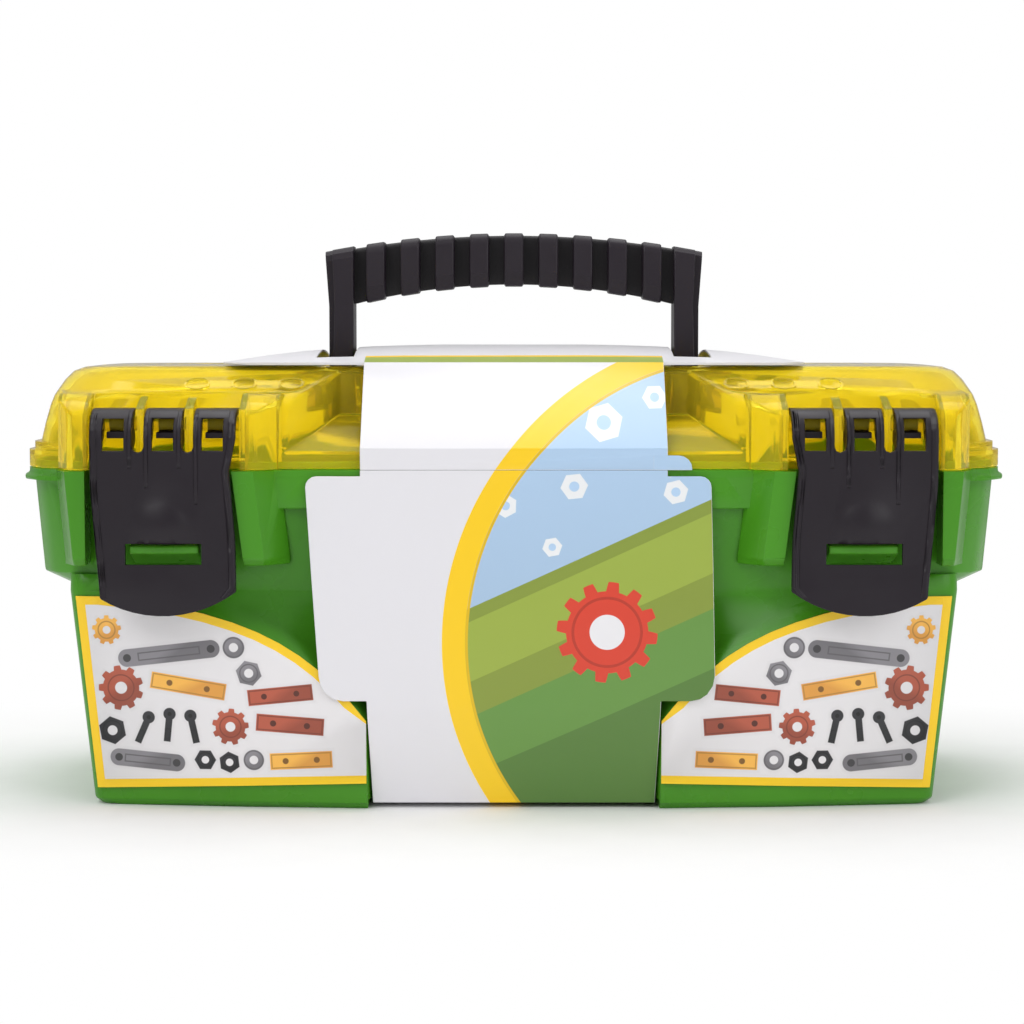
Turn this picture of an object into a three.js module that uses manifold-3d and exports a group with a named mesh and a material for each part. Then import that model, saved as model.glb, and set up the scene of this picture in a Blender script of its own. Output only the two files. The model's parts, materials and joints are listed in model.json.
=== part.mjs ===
// Toy tool box: a moulded tub, a see-through lid on two rear hinges, a rocking carrying handle,
// two front latches, a two-part printed card sleeve and two front labels.
// Millimetres, +X to the right, +Y to the back, +Z up; the feet stand on z = 0.
import * as THREE from 'three';
import { mergeVertices } from 'three/addons/utils/BufferGeometryUtils.js';
import Module from 'manifold-3d';

const wasm = await Module();
wasm.setup();

// Rim, where the tub and the lid meet
const rimHalfLength = 181.2;
const rimReach = 76;
const rimCornerRadius = 24;
const rimBow = 3;
const rimDepth = 4.2;
const rimLipProud = 1.7;
const rimLipDepth = 1.5;
const seamGap = 0.4;

// Tub
const tubHeight = 124.9;
const tubWall = 2.2;
const tubFloor = 2.4;
const bandDepth = 34.4;
const bandChamfer = 6.2;
const bandInset = 1.5;
const bandDraft = 2.9;
const bandFaceDraft = 2;
const bandOverhang = 13;
const bandSetback = 3;
const bodyDraft = 7.7;
const footRounding = 2.4;
const bodyCornerRadius = 6;
const backSetback = 8;
const lobeProud = 6;
const lobeDraft = 4;
const lobeBow = 11;
const recessSetback = 7;
const recessDraft = 3;
const channelHalfWidth = 53.6;
const channelRise = 3.4;
const apronDepth = 10;
const apronProud = 2.4;
const tongueRise = 3;
const tongueWall = 1.8;
const tongueGap = 0.8;

// Lid
const lidRise = 36.8;
const lidWall = 2;
const lidRimHeight = 6.4;
const lidStepHeight = 2.9;
const lidStepInset = 2;
const crownEndInset = 27;
const crownFaceInset = 34;
const crownCornerRadius = 20;
const lidRecessReach = 46;
const lidRecessTopHalfWidth = 65;
const lidRecessHalfWidth = 84;
const ledgeRise = 12.6;
const crownRingRadius = 4.8;
const crownRingWidth = 0.9;
const crownRingProud = 0.4;
const crownRingStart = 82.4;
const crownRingPitch = 17.4;
const crownRingReach = 59;
const crownRingCount = 3;

// Latches
const latchFromEnd = 54.6;
const latchHalfWidth = 26.3;
const latchWall = 2.3;
const latchStandoff = 0.6;
const latchLowFromAxis = 69;
const latchSag = 8.5;
const latchLipLength = 18;
const latchLipFlare = 4;
const latchWaist = 2.4;
const latchWaistFromAxis = 17;
const hookPitch = 17.9;
const hookWidth = 13.5;
const hookRise = 5.4;
const hookDrop = 5;
const hookCrest = 2;
const hookTail = 9.8;
const hookRootFromAxis = 10.2;
const strapThickness = 2.5;
const cheekWall = 1.6;
const axisSetback = 10;
const axisBelowHousing = 6.7;
const windowWidth = 7.8;
const windowHeight = 11.6;
const windowTopFromAxis = 2;
const curlWidth = 6.2;
const curlThickness = 2.4;
const rodRadius = 2.6;
const pivotClearance = 0.3;
const pocketClearance = 0.6;
const pocketSideGap = 0.7;
const ledgeLowering = 0.35;
const ribSideGap = 0.6;
const slotHalfWidth = 13.8;
const slotHeight = 7.7;
const slotLowFromAxis = 50.8;
const catchSideGap = 1.2;
const catchHeight = 3.4;
const catchBite = 0.4;
const flangeInset = 4.3;
const flangeDepth = 5;
const flangeWall = 1.8;
const domeRadius = 11.6;
const domeProud = 1.2;

// Latch housings, on the lid and below it on the tub
const housingProud = 8.5;
const housingRise = 23.4;
const outerHousingWidth = 7.5;
const innerHousingWidth = 6.2;
const outerHousingSplay = 4.6;
const innerHousingSplay = 8.5;
const housingGap = 1;
const bossDepth = 34.5;
const bossChamfer = 2.5;
const bossSlant = 4;
const bossDraft = 3;
const bossShift = 1.3;
const bossOverlap = 1.6;

// Handle
const pivotDepth = 10;
const handleRise = 61.4;
const gripThickness = 20.6;
const gripCrown = 6;
const gripUnderCrown = 6.5;
const legOuter = 72;
const legWidth = 10.3;
const legHalfDepth = 10.3;
const legFlare = 1.5;
const studRadius = 4;
const studLength = 8;
const hubWall = 2.2;
const legClearance = 1;
const handleSwing = 48;
const gripRibCount = 9;
const gripRibWidth = 7.2;
const gripGrooveDepth = 3;
const gripGrooveMargin = 2.4;
const gripRibProud = 0.8;

// Rear hinges
const hingeStandoff = 6;
const hingeCentre = 96;
const knuckleRadius = 3.6;
const knuckleLength = 7.4;
const knuckleGap = 0.4;
const webClearance = 0.6;
const pinRadius = 1.25;
const pinClearance = 0.1;
const pinOverhang = 0.8;

// Card sleeve and labels
const cardThickness = 0.9;
const cardGap = 0.6;
const cardBulge = 6.4;
const cardFoldReach = 47.6;
const wingHalfWidth = 110;
const wingCornerRadius = 14;
const cardSlotHalfLength = 37;
const cardSlotGap = 1.2;
const strapHalfWidth = 56;
const earTopWidths = [76, 72];
const earLowWidths = [71.2, 73.4];
const earTopDrop = 2.2;
const earHeight = 82;
const earCornerRadius = 9;
const shoulderRadius = 4;
const tabRise = 5;
const tabWidth = 9;
const footStrapHalfWidth = 51.6;
const strapDraft = 2.6;
const cardBelly = 4;
const cardFootInset = 3;
const labelThickness = 0.5;
const labelGap = 0.3;
const labelMargin = 0.6;
const labelEndMargin = 2.6;

// Facets, and the overrun of every cut
const overrun = 5;
const cornerSteps = 4;
const faceSteps = 6;
const roundSides = 24;
const curveSteps = 12;
const cardSteps = 8;

// Outlines, as shares of the sizes that they follow
const ridgeFaceShares = [[0, 0.418], [0.192, 0.774], [0.401, 0.961], [1, 0.998]];
const ridgeFootShares = [[-0.02, 0.43], [0.165, 0.8], [0.385, 1], [1, 1.119]];
const crownShares = [
  [0, 0.085, 0.044], [0.24, 0.15, 0.059], [0.49, 0.225, 0.103], [0.62, 0.265, 0.206],
  [0.71, 0.295, 0.397], [0.82, 0.34, 0.603], [0.93, 0.42, 0.824], [0.985, 0.56, 0.94], [1, 0.78, 1],
];
const housingShares = [[1, 0], [1, 0.7], [0.93, 0.93], [0.4, 1.03], [-0.6, 1.17], [-2, 1.17], [-2, 0]];
const bandRootShare = 0.12;
const domeRiseShare = 0.55;
const domeShares = [[1.04, -1], [1, 0], [0.7, 0.51], [0.4, 0.84], [0.1, 0.99]];
const latchEdgeShares = [[1, 0], [1, 0.36], [0.916, 0.81]];
const latchInnerShares = [0.985, 0.7];
const latchFootShares = [0.86, 1];
const lipShares = [0.3, 0.55];
const catchRootShare = 1.5;
const rodRibShares = [[1.6, 1], [1, 2.1]];
const rodWallShares = [[0.6, 3.2], [0, 3.8]];
const cheekCrownShares = [[0.8, 0], [0.5, 0.6]];
const cheekTailShare = 0.8;
const cheekLowShares = [[0.5, 1], [1, 1.3]];
const curlTailShare = 0.9;
const curlRootShare = 1.5;
const labelFootShares = [0.123, 0.085];
const strapLowShare = 0.3;
const cardBellyShares = [0.8, 0.4, 0.58];

// Places worked out from the sizes above
const seamHeight = tubHeight + seamGap;
const lidTop = seamHeight + lidRise;
const ledgeHeight = seamHeight + lidRimHeight;
const crownLow = ledgeHeight + lidStepHeight;
const rimLow = tubHeight - rimDepth;
const bandLow = rimLow - bandDepth;
const waistHeight = bandLow - bandChamfer;
const bandTopHalf = rimHalfLength - bandInset;
const bandLowHalf = bandTopHalf - bandDraft;
const waistHalf = bandLowHalf - bandOverhang;
const baseHalf = waistHalf - bodyDraft;
const bandReach = rimReach - bandSetback;
const lobeReach = rimReach + lobeProud;
const recessReach = rimReach - recessSetback;
const backReach = rimReach - backSetback;
const latchCentre = rimHalfLength - latchFromEnd;
const housingReach = rimReach + housingProud;
const latchBackReach = housingReach + latchStandoff;
const latchFrontReach = latchBackReach + latchWall;
const latchAhead = latchFrontReach + latchLipFlare + overrun;
const axisReach = latchFrontReach - axisSetback;
const axisHeight = seamHeight + housingRise - axisBelowHousing;
const boreRadius = rodRadius + pivotClearance;
const hookSweep = Math.hypot(hookTail, hookRise);
const pocketReach = axisReach - hookSweep - pocketClearance;
const pocketLow = axisHeight - hookSweep - pocketClearance;
const slotLow = axisHeight - slotLowFromAxis;
const slotTop = slotLow + slotHeight;
const latchLow = axisHeight - latchLowFromAxis;
const hookRoot = axisHeight - hookRootFromAxis;
const hingeReach = rimReach + hingeStandoff;
const hingeHeight = tubHeight + seamGap / 2;
const pivotHeight = lidTop - pivotDepth;
const handleTop = pivotHeight + handleRise;
const legInner = legOuter - legWidth;
const cardReach = rimReach + cardGap;
const cardLow = channelRise - cardGap - cardThickness;
const sides = [-1, 1];

const at = (x, y, z) => new THREE.Vector3(x, y, z);
const mix = (a, b, share) => a + (b - a) * share;

// A closed geometry as a solid that can be joined and cut.
function solidOf(geometry) {
  geometry.deleteAttribute('normal');
  geometry.deleteAttribute('uv');
  const merged = mergeVertices(geometry);
  return new wasm.Manifold(new wasm.Mesh({
    numProp: 3,
    vertProperties: new Float32Array(merged.attributes.position.array),
    triVerts: new Uint32Array(merged.index.array),
  }));
}

function geometryOf(solid) {
  const mesh = solid.getMesh();
  const geometry = new THREE.BufferGeometry();
  geometry.setAttribute('position', new THREE.BufferAttribute(new Float32Array(mesh.vertProperties), 3));
  geometry.setIndex(new THREE.BufferAttribute(new Uint32Array(mesh.triVerts), 1));
  geometry.computeVertexNormals();
  return geometry;
}

const join = (solids) => solids.reduce((all, one) => all.add(one));
const cut = (solid, tools) => tools.reduce((left, tool) => left.subtract(tool), solid);

// The area vector of a closed ring of points.
function ringNormal(ring) {
  const normal = at(0, 0, 0);
  ring.forEach((point, i) => normal.add(point.clone().cross(ring[(i + 1) % ring.length])));
  return normal;
}

const ringCentre = (ring) => ring.reduce((sum, p) => sum.add(p), at(0, 0, 0)).divideScalar(ring.length);

// The closed skin through a row of rings that all have the same number of points.
function loft(rings) {
  const count = rings[0].length;
  const along = ringCentre(rings[rings.length - 1]).sub(ringCentre(rings[0]));
  const turned = ringNormal(rings[0]).dot(along) < 0;
  const index = [];
  const face = (a, b, c, flip) => index.push(...(flip ? [a, c, b] : [a, b, c]));
  for (let r = 0; r + 1 < rings.length; r += 1) {
    for (let i = 0; i < count; i += 1) {
      const j = (i + 1) % count;
      const low = r * count;
      const high = low + count;
      face(low + i, low + j, high + j, turned);
      face(low + i, high + j, high + i, turned);
    }
  }
  [0, rings.length - 1].forEach((r) => {
    const ring = rings[r];
    const size = ringNormal(ring).toArray().map(Math.abs);
    const drop = size.indexOf(Math.max(...size));
    const flat = ring.map((p) => new THREE.Vector2(...p.toArray().filter((value, k) => k !== drop)));
    const outward = r === 0 ? along.clone().negate() : along;
    THREE.ShapeUtils.triangulateShape(flat, []).forEach(([a, b, c]) => {
      const facing = ringNormal([ring[a], ring[b], ring[c]]).dot(outward);
      face(r * count + a, r * count + b, r * count + c, facing < 0);
    });
  });
  const geometry = new THREE.BufferGeometry();
  const points = rings.flat().flatMap((p) => p.toArray());
  geometry.setAttribute('position', new THREE.BufferAttribute(new Float32Array(points), 3));
  geometry.setIndex(index);
  return solidOf(geometry);
}

// Straight prisms of an outline: in (y, z) along X, in (x, z) along Y, and in (x, y) along Z.
const alongX = (outline, from, to) => loft([from, to].map((x) => outline.map(([y, z]) => at(x, y, z))));
const alongY = (outline, from, to) => loft([from, to].map((y) => outline.map(([x, z]) => at(x, y, z))));
const alongZ = (outline, from, to) => loft([from, to].map((z) => outline.map(([x, y]) => at(x, y, z))));

// A side profile given as (reach towards the front, height), made X-wide between two places.
const profileX = (outline, from, to) => alongX(outline.map(([reach, z]) => [-reach, z]), from, to);

function block(x0, x1, y0, y1, z0, z1) {
  const box = new THREE.BoxGeometry(Math.abs(x1 - x0), Math.abs(y1 - y0), Math.abs(z1 - z0));
  return solidOf(box.translate((x0 + x1) / 2, (y0 + y1) / 2, (z0 + z1) / 2));
}

function barX(radius, x0, x1, y, z) {
  const bar = new THREE.CylinderGeometry(radius, radius, Math.abs(x1 - x0), roundSides);
  return solidOf(bar.rotateZ(Math.PI / 2).translate((x0 + x1) / 2, y, z));
}

function barZ(radius, x, y, z0, z1) {
  const bar = new THREE.CylinderGeometry(radius, radius, Math.abs(z1 - z0), roundSides);
  return solidOf(bar.rotateX(Math.PI / 2).translate(x, y, (z0 + z1) / 2));
}

function arc(cx, cy, radius, from, to, steps) {
  return Array.from({ length: steps + 1 }, (unused, i) => {
    const angle = mix(from, to, i / steps);
    return [cx + radius * Math.cos(angle), cy + radius * Math.sin(angle)];
  });
}

const quarter = Math.PI / 2;
const degree = Math.PI / 180;

// Moves the points of an open curve sideways, to the right of the way it runs.
function besideCurve(points, distance) {
  return points.map(([x, z], i) => {
    const [x0, z0] = points[Math.max(i - 1, 0)];
    const [x1, z1] = points[Math.min(i + 1, points.length - 1)];
    const length = Math.hypot(x1 - x0, z1 - z0);
    return [x + distance * (z1 - z0) / length, z - distance * (x1 - x0) / length];
  });
}

// A plan outline: a rounded rectangle whose front side bows outwards.
function planRing(half, front, back, radius, bow, z) {
  const frontAt = (x) => bow * (x / half) ** 2 - front;
  const inner = half - radius;
  const points = [
    ...arc(inner, back - radius, radius, 0, quarter, cornerSteps),
    ...arc(-inner, back - radius, radius, quarter, 2 * quarter, cornerSteps),
    ...arc(-inner, frontAt(inner) + radius, radius, 2 * quarter, 3 * quarter, cornerSteps),
  ];
  for (let i = 1; i < faceSteps; i += 1) {
    const x = mix(-inner, inner, i / faceSteps);
    points.push([x, frontAt(x)]);
  }
  points.push(...arc(inner, frontAt(inner) + radius, radius, 3 * quarter, 4 * quarter, cornerSteps));
  return points.map(([x, y]) => at(x, y, z));
}

// Tub

// The lower body before its front is scooped out, taken in by the inset all round.
function lowerBody(inset, low) {
  const radius = Math.max(bodyCornerRadius - inset, tubWall);
  const front = lobeReach - inset;
  const back = backReach - inset;
  const foot = footRounding;
  const base = (less, z) => planRing(
    baseHalf - inset - less, front - lobeDraft - less, back - lobeDraft - less, radius, lobeBow, z,
  );
  return loft([
    base(foot, low),
    base(0, low + foot),
    planRing(waistHalf - inset, front, back, radius, lobeBow, waistHeight),
    planRing(waistHalf - inset, bandReach - inset, back, radius, rimBow, bandLow + inset),
  ]);
}

// The upper band and the chamfer under it, taken in by the inset all round.
function upperBody(inset, top) {
  const radius = rimCornerRadius - inset;
  const slope = inset / 2;
  const low = bandReach - bandFaceDraft;
  return loft([
    planRing(
      waistHalf - inset - bandOverhang * bandRootShare, recessReach - inset, backReach - inset,
      radius, rimBow, waistHeight + slope - bandChamfer * bandRootShare,
    ),
    planRing(bandLowHalf - inset, low - inset, low - inset, radius, rimBow, bandLow + slope),
    planRing(bandTopHalf - inset, bandReach - inset, bandReach - inset, radius, rimBow, top),
  ]);
}

// The ridge over a raised front lobe, seen from the front, from the channel out to the end.
function ridge(shares) {
  const width = waistHalf + overrun - channelHalfWidth;
  const handles = shares.map(([x, z]) => new THREE.Vector2(channelHalfWidth + x * width, z * waistHeight));
  return new THREE.CubicBezierCurve(...handles).getPoints(curveSteps).map((p) => [p.x, p.y]);
}

// The scoop in the middle of the front: its sunken face, and slopes that rise from it to the
// ridges of the two lobes. It is grown by the given amount for the inside of the wall.
function scoop(grow) {
  const foot = besideCurve(ridge(ridgeFootShares), grow);
  const face = besideCurve(ridge(ridgeFaceShares), grow);
  const depth = lobeReach - lobeDraft - recessReach;
  const reachShare = 2;
  const outline = (share) => {
    const half = foot.map(([x, z], i) => [mix(x, face[i][0], share), mix(z, face[i][1], share)]);
    const [lowX] = half[0];
    const [highX] = half[half.length - 1];
    const right = [[lowX, -overrun], ...half, [highX, tubHeight]];
    const left = right.map(([x, z]) => [-x, z]).reverse();
    return [...right, ...left];
  };
  const fall = (z) => recessDraft * (waistHeight - z) / waistHeight;
  return loft([0, reachShare].map((share) => outline(share)
    .map(([x, z]) => at(x, -(recessReach - grow - fall(z) + depth * share), z))));
}

// The places across a housing, outwards from the middle of its latch and inset from its outside:
// its near side, the far edge of its front and the root of its splayed far side.
function housingAcross(end, inset) {
  const width = end > 0 ? outerHousingWidth : innerHousingWidth;
  const splay = end > 0 ? outerHousingSplay : innerHousingSplay;
  const near = latchHalfWidth + housingGap;
  return [near + inset, near + width - inset, near + width + splay - inset];
}

// A boss beside a latch on the tub, or the hollow inside it. It leans over as it goes down.
function boss(side, end, inset) {
  const low = tubHeight - bossDepth + inset;
  const [near, far, root] = housingAcross(end, inset);
  const overlap = end < 0 ? bossOverlap : 0;
  const nearLean = end < 0 ? bossSlant : 0;
  const farLean = end < 0 ? bossSlant : -bossDraft;
  const back = bandReach - (inset ? overrun : tubWall);
  const ring = (z, setback, lean) => {
    const front = housingReach - inset - setback;
    const inner = near - overlap + nearLean * lean;
    const outer = farLean * lean;
    const plan = [[inner, back], [inner, front], [far + outer, front], [root + outer, bandReach], [root + outer, back]];
    return plan.map(([out, reach]) => at(side * (latchCentre + bossShift + end * out), -reach, z));
  };
  return loft([
    ring(low, inset ? 0 : bossChamfer, 1), ring(low + bossChamfer, 0, 1), ring(tubHeight - inset, 0, 0),
  ]);
}

const tubBosses = (inset) => sides.flatMap((side) => sides.map((end) => boss(side, end, inset)));

// The tooth that a latch's slot snaps over. Its nose leans so that the lid can lift past it.
function latchCatch(side) {
  const centre = side * latchCentre;
  const half = slotHalfWidth - catchSideGap;
  const nose = latchBackReach + catchBite;
  const back = bandReach - bandFaceDraft;
  const top = slotTop - catchSideGap / 4;
  const root = catchHeight * catchRootShare;
  return profileX([
    [back - tubWall / 2, top - catchHeight - root], [nose - catchBite / 2, top - catchHeight],
    [nose, top - catchHeight / 4], [nose - catchHeight / 2, top], [back - tubWall / 2, top + root],
  ], centre - half, centre + half);
}

function hingeKnuckle(from, to, above) {
  const edge = hingeHeight + above * webClearance;
  return join([
    barX(knuckleRadius, from, to, hingeReach, hingeHeight),
    block(from, to, rimReach - tubWall / 2, hingeReach, edge, hingeHeight + above * knuckleRadius),
  ]);
}

const hingeBore = (centre) => {
  const half = 2 * knuckleLength + knuckleGap;
  return barX(pinRadius + pinClearance, centre - half, centre + half, hingeReach, hingeHeight);
};

function tubSolid() {
  const tongueHalf = rimHalfLength - lidWall - tongueGap;
  const tongueReach = rimReach - lidWall - tongueGap;
  const tongueRadius = rimCornerRadius - lidWall - tongueGap;
  const ringAt = (inset, z) => planRing(tongueHalf - inset, tongueReach - inset, tongueReach - inset,
    tongueRadius - inset, rimBow, z);
  const rimRing = (proud, z) => planRing(rimHalfLength + proud, rimReach, rimReach,
    rimCornerRadius, rimBow, z);
  const lipTop = rimLow + rimLipDepth;
  const rim = loft([rimRing(rimLipProud, rimLow), rimRing(rimLipProud, lipTop),
    rimRing(0, lipTop + rimLipProud / 2), rimRing(0, tubHeight)]);
  const tongue = loft([ringAt(0, rimLow), ringAt(0, tubHeight + tongueRise)]);
  const apronHalf = latchCentre - latchHalfWidth - housingGap - innerHousingWidth + tubWall;
  const apron = block(-apronHalf, apronHalf, -(bandReach + apronProud), -(bandReach - tubWall / 2),
    rimLow - apronDepth, rimLow + rimLipDepth);
  const channel = block(-channelHalfWidth, channelHalfWidth, -lobeReach - overrun, backReach + overrun,
    -overrun, channelRise);
  const outside = join([
    cut(lowerBody(0, 0), [scoop(0), channel]), upperBody(0, rimLow + rimLipDepth), rim, tongue, apron,
    ...tubBosses(0), ...sides.map(latchCatch),
  ]);
  const channelInside = block(-channelHalfWidth - tubWall, channelHalfWidth + tubWall,
    -lobeReach - overrun, backReach + overrun, -overrun, channelRise + tubFloor);
  const mouth = loft([ringAt(tongueWall, rimLow), ringAt(tongueWall, tubHeight + tongueRise + overrun)]);
  const inside = join([
    cut(lowerBody(tubWall, tubFloor), [scoop(tubWall), channelInside]), upperBody(tubWall, rimLow),
    mouth, ...tubBosses(tubWall),
  ]);
  const knuckles = sides.flatMap((side) => sides.map((end) => {
    const near = side * hingeCentre + end * (knuckleLength / 2 + knuckleGap);
    return hingeKnuckle(near, near + end * knuckleLength, -1);
  }));
  const shell = outside.subtract(inside);
  return cut(join([shell, ...knuckles]), sides.map((side) => hingeBore(side * hingeCentre)));
}

// Lid

// The lid's bulk taken in by the inset: a straight rim, a small step and a crowned top.
function lidBody(inset) {
  const low = inset > 0 ? seamHeight - overrun : seamHeight;
  const half = rimHalfLength - inset;
  const reach = rimReach - inset;
  const radius = rimCornerRadius - inset;
  const crown = lidTop - crownLow;
  const straight = (step, z) => planRing(half - step, reach - step / 4, reach - step / 4, radius, rimBow, z);
  return loft([
    straight(0, low), straight(0, ledgeHeight - inset), straight(lidStepInset, ledgeHeight - inset),
    straight(lidStepInset, crownLow - inset),
    ...crownShares.map(([up, end, face]) => planRing(
      half - lidStepInset - end * crownEndInset, reach - face * crownFaceInset,
      reach - face * crownFaceInset, mix(radius, crownCornerRadius - inset, up), rimBow * (1 - up),
      crownLow + up * crown - inset,
    )),
  ]);
}

// The sunken middle of the lid's front and back, over a ledge that slopes down to the rim.
function lidRecess(facing, grow) {
  const flare = (lidRecessHalfWidth - lidRecessTopHalfWidth) / (rimReach - lidRecessReach);
  const fall = (ledgeRise + ledgeLowering) / (rimReach - lidRecessReach);
  const ring = (top) => [[lidRecessReach - grow, -1], [rimReach + overrun, -1],
    [rimReach + overrun, 1], [lidRecessReach - grow, 1]].map(([reach, end]) => {
    const half = lidRecessTopHalfWidth + grow + flare * (reach - lidRecessReach);
    const ledge = ledgeHeight + ledgeRise - fall * (reach - lidRecessReach) - grow;
    return at(end * half, facing * reach, top ? lidTop + overrun : ledge);
  });
  return loft([ring(false), ring(true)]);
}

// A housing beside a latch on the lid, or the hollow inside it: a side profile over a splayed plan.
function lidHousing(side, end, inset) {
  const [near, far, root] = housingAcross(end, inset).map((out) => side * (latchCentre + end * out));
  const profile = housingShares.map(([out, up]) => [
    rimReach + out * housingProud - inset, seamHeight + up * housingRise - (up > 0 ? inset : 0),
  ]);
  const ahead = housingReach + overrun;
  const plan = [[near, ahead], [far, ahead], [far, housingReach - inset], [root, rimReach], [root, 0], [near, 0]];
  return profileX(profile, near, root)
    .intersect(alongZ(plan.map(([x, reach]) => [x, -reach]), tubHeight, lidTop));
}

const lidHousings = (inset) => sides.flatMap((side) => sides.map((end) => lidHousing(side, end, inset)));

// The pocket that a latch's hooks turn in.
function hookPocket(side, grow) {
  const half = latchHalfWidth + pocketSideGap + grow;
  const centre = side * latchCentre;
  return block(centre - half, centre + half, -(housingReach + overrun), -(pocketReach - grow),
    pocketLow - grow, lidTop + overrun);
}

// The rod that a latch turns on, and the ribs between the hooks that hold it.
function latchRod(side) {
  const centre = side * latchCentre;
  const half = latchHalfWidth + housingGap + lidWall / 2;
  const ribHalf = (hookPitch - hookWidth) / 2 - ribSideGap;
  const wall = pocketReach - lidWall / 2;
  const low = pocketLow - lidWall / 2;
  const outline = [
    [wall, low], [axisReach + rodRadius, low],
    ...rodRibShares.map(([out, up]) => [axisReach + out * rodRadius, axisHeight + up * rodRadius]),
    ...rodWallShares.map(([out, up]) => [mix(wall, axisReach, out), axisHeight + up * rodRadius]),
  ];
  const ribs = sides.map((end) => {
    const middle = centre + end * hookPitch / 2;
    return profileX(outline, middle - ribHalf, middle + ribHalf);
  });
  return join([barX(rodRadius, centre - half, centre + half, -axisReach, axisHeight), ...ribs]);
}

// The well that a handle leg rocks in: a round foot and two slopes up to the top of the lid.
function legWell(side, grow) {
  const radius = legHalfDepth + legClearance + grow;
  const swing = handleSwing * degree;
  const top = lidTop + overrun;
  const footY = radius * Math.cos(swing);
  const footZ = pivotHeight - radius * Math.sin(swing);
  const topY = footY + (top - footZ) * Math.tan(swing);
  const outline = [
    [topY, top], ...arc(0, pivotHeight, radius, -swing, swing - Math.PI, curveSteps), [-topY, top],
  ];
  const from = legInner - legClearance - grow;
  const to = legOuter + legClearance + grow;
  return alongX(outline, side * from, side * to);
}

// A round bar along the handle's axis, from before the outer face of a leg's well to past it.
function legHub(side, radius, before, past) {
  const face = legOuter + legClearance;
  return barX(radius, side * (face - before), side * (face + past), 0, pivotHeight);
}

function crownRings() {
  const rings = sides.flatMap((side) => Array.from({ length: crownRingCount }, (unused, i) => {
    const x = side * (crownRingStart + i * crownRingPitch);
    const outer = barZ(crownRingRadius, x, -crownRingReach, crownLow, lidTop + overrun);
    return outer.subtract(barZ(crownRingRadius - crownRingWidth, x, -crownRingReach, crownLow, lidTop + overrun));
  }));
  return join(rings).intersect(lidBody(-crownRingProud));
}

function lidSolid() {
  const faces = [-1, 1];
  const outside = cut(join([lidBody(0), ...lidHousings(0), crownRings()]), [
    ...faces.map((facing) => lidRecess(facing, 0)), ...sides.map((side) => hookPocket(side, 0)),
  ]);
  const stud = studRadius + pivotClearance;
  const inside = cut(join([lidBody(lidWall), ...lidHousings(lidWall)]), [
    ...faces.map((facing) => lidRecess(facing, lidWall)), ...sides.map((side) => hookPocket(side, lidWall)),
    ...sides.map((side) => legWell(side, lidWall)),
    ...sides.map((side) => legHub(side, stud + hubWall, 0, studLength + hubWall)),
  ]);
  const knuckles = sides.map((side) => {
    const half = knuckleLength / 2;
    return hingeKnuckle(side * hingeCentre - half, side * hingeCentre + half, 1);
  });
  const body = join([outside.subtract(inside), ...sides.map(latchRod), ...knuckles]);
  return cut(body, sides.flatMap((side) => [
    legWell(side, 0), legHub(side, stud, overrun, studLength + hubWall + overrun), hingeBore(side * hingeCentre),
  ]));
}

// Latch

// The strap of a latch from the side: a flat front, a lip that flares out at its foot, and a
// top that curls back over the rod.
function strapOutline() {
  const lipTop = latchLow + latchLipLength;
  const foot = latchLow - overrun;
  const flare = latchLipFlare;
  const [lipOut, lipUp] = lipShares;
  const lipBend = mix(latchLow, lipTop, lipUp);
  const crest = axisReach - hookCrest;
  const bend = (from, to, inset) => arc(0, 0, 1, from, to, faceSteps).map(([u, v]) => [
    crest + (latchFrontReach - crest - inset) * u, axisHeight - hookDrop + (hookDrop + hookRise - inset) * v,
  ]);
  const tail = axisReach - hookTail;
  return [
    [latchFrontReach + flare, foot], [latchFrontReach + flare, latchLow],
    [latchFrontReach + flare * lipOut, lipBend], [latchFrontReach, lipTop],
    ...bend(0, quarter, 0), [tail + strapThickness / 2, axisHeight + hookRise],
    [tail, axisHeight + hookRise - strapThickness / 2],
    [tail + strapThickness / 4, axisHeight + hookRise - strapThickness],
    ...bend(quarter, 0, strapThickness), [latchBackReach, hookRoot], [latchBackReach, lipTop],
    [latchBackReach + flare * lipOut, lipBend], [latchBackReach + flare, latchLow],
    [latchBackReach + flare, foot],
  ];
}

// The latch from the front, before its windows and slot: u runs outwards from its middle.
function latchFace(side) {
  const top = axisHeight + hookRise + overrun;
  const drop = axisHeight - latchLow - latchSag;
  const edge = latchEdgeShares.map(([out, down]) => [out * latchHalfWidth, axisHeight - down * drop]);
  const [innerOut, innerDown] = latchInnerShares;
  const radius = (latchHalfWidth ** 2 + latchSag ** 2) / (2 * latchSag);
  const [outerFoot, innerFoot] = latchFootShares.map((share) => Math.asin(share * latchHalfWidth / radius));
  const sag = arc(0, latchLow + radius, radius, outerFoot - quarter, -innerFoot - quarter, curveSteps);
  const outline = [
    [latchHalfWidth, top], ...edge, ...sag, [-latchHalfWidth * innerOut, axisHeight - innerDown * drop],
    [latchWaist - latchHalfWidth, axisHeight - latchWaistFromAxis], [-latchHalfWidth, hookRoot + hookRise],
    [-latchHalfWidth, top],
  ];
  return alongY(outline.map(([u, z]) => [side * (latchCentre + u), z]), -latchAhead, 0);
}

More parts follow.
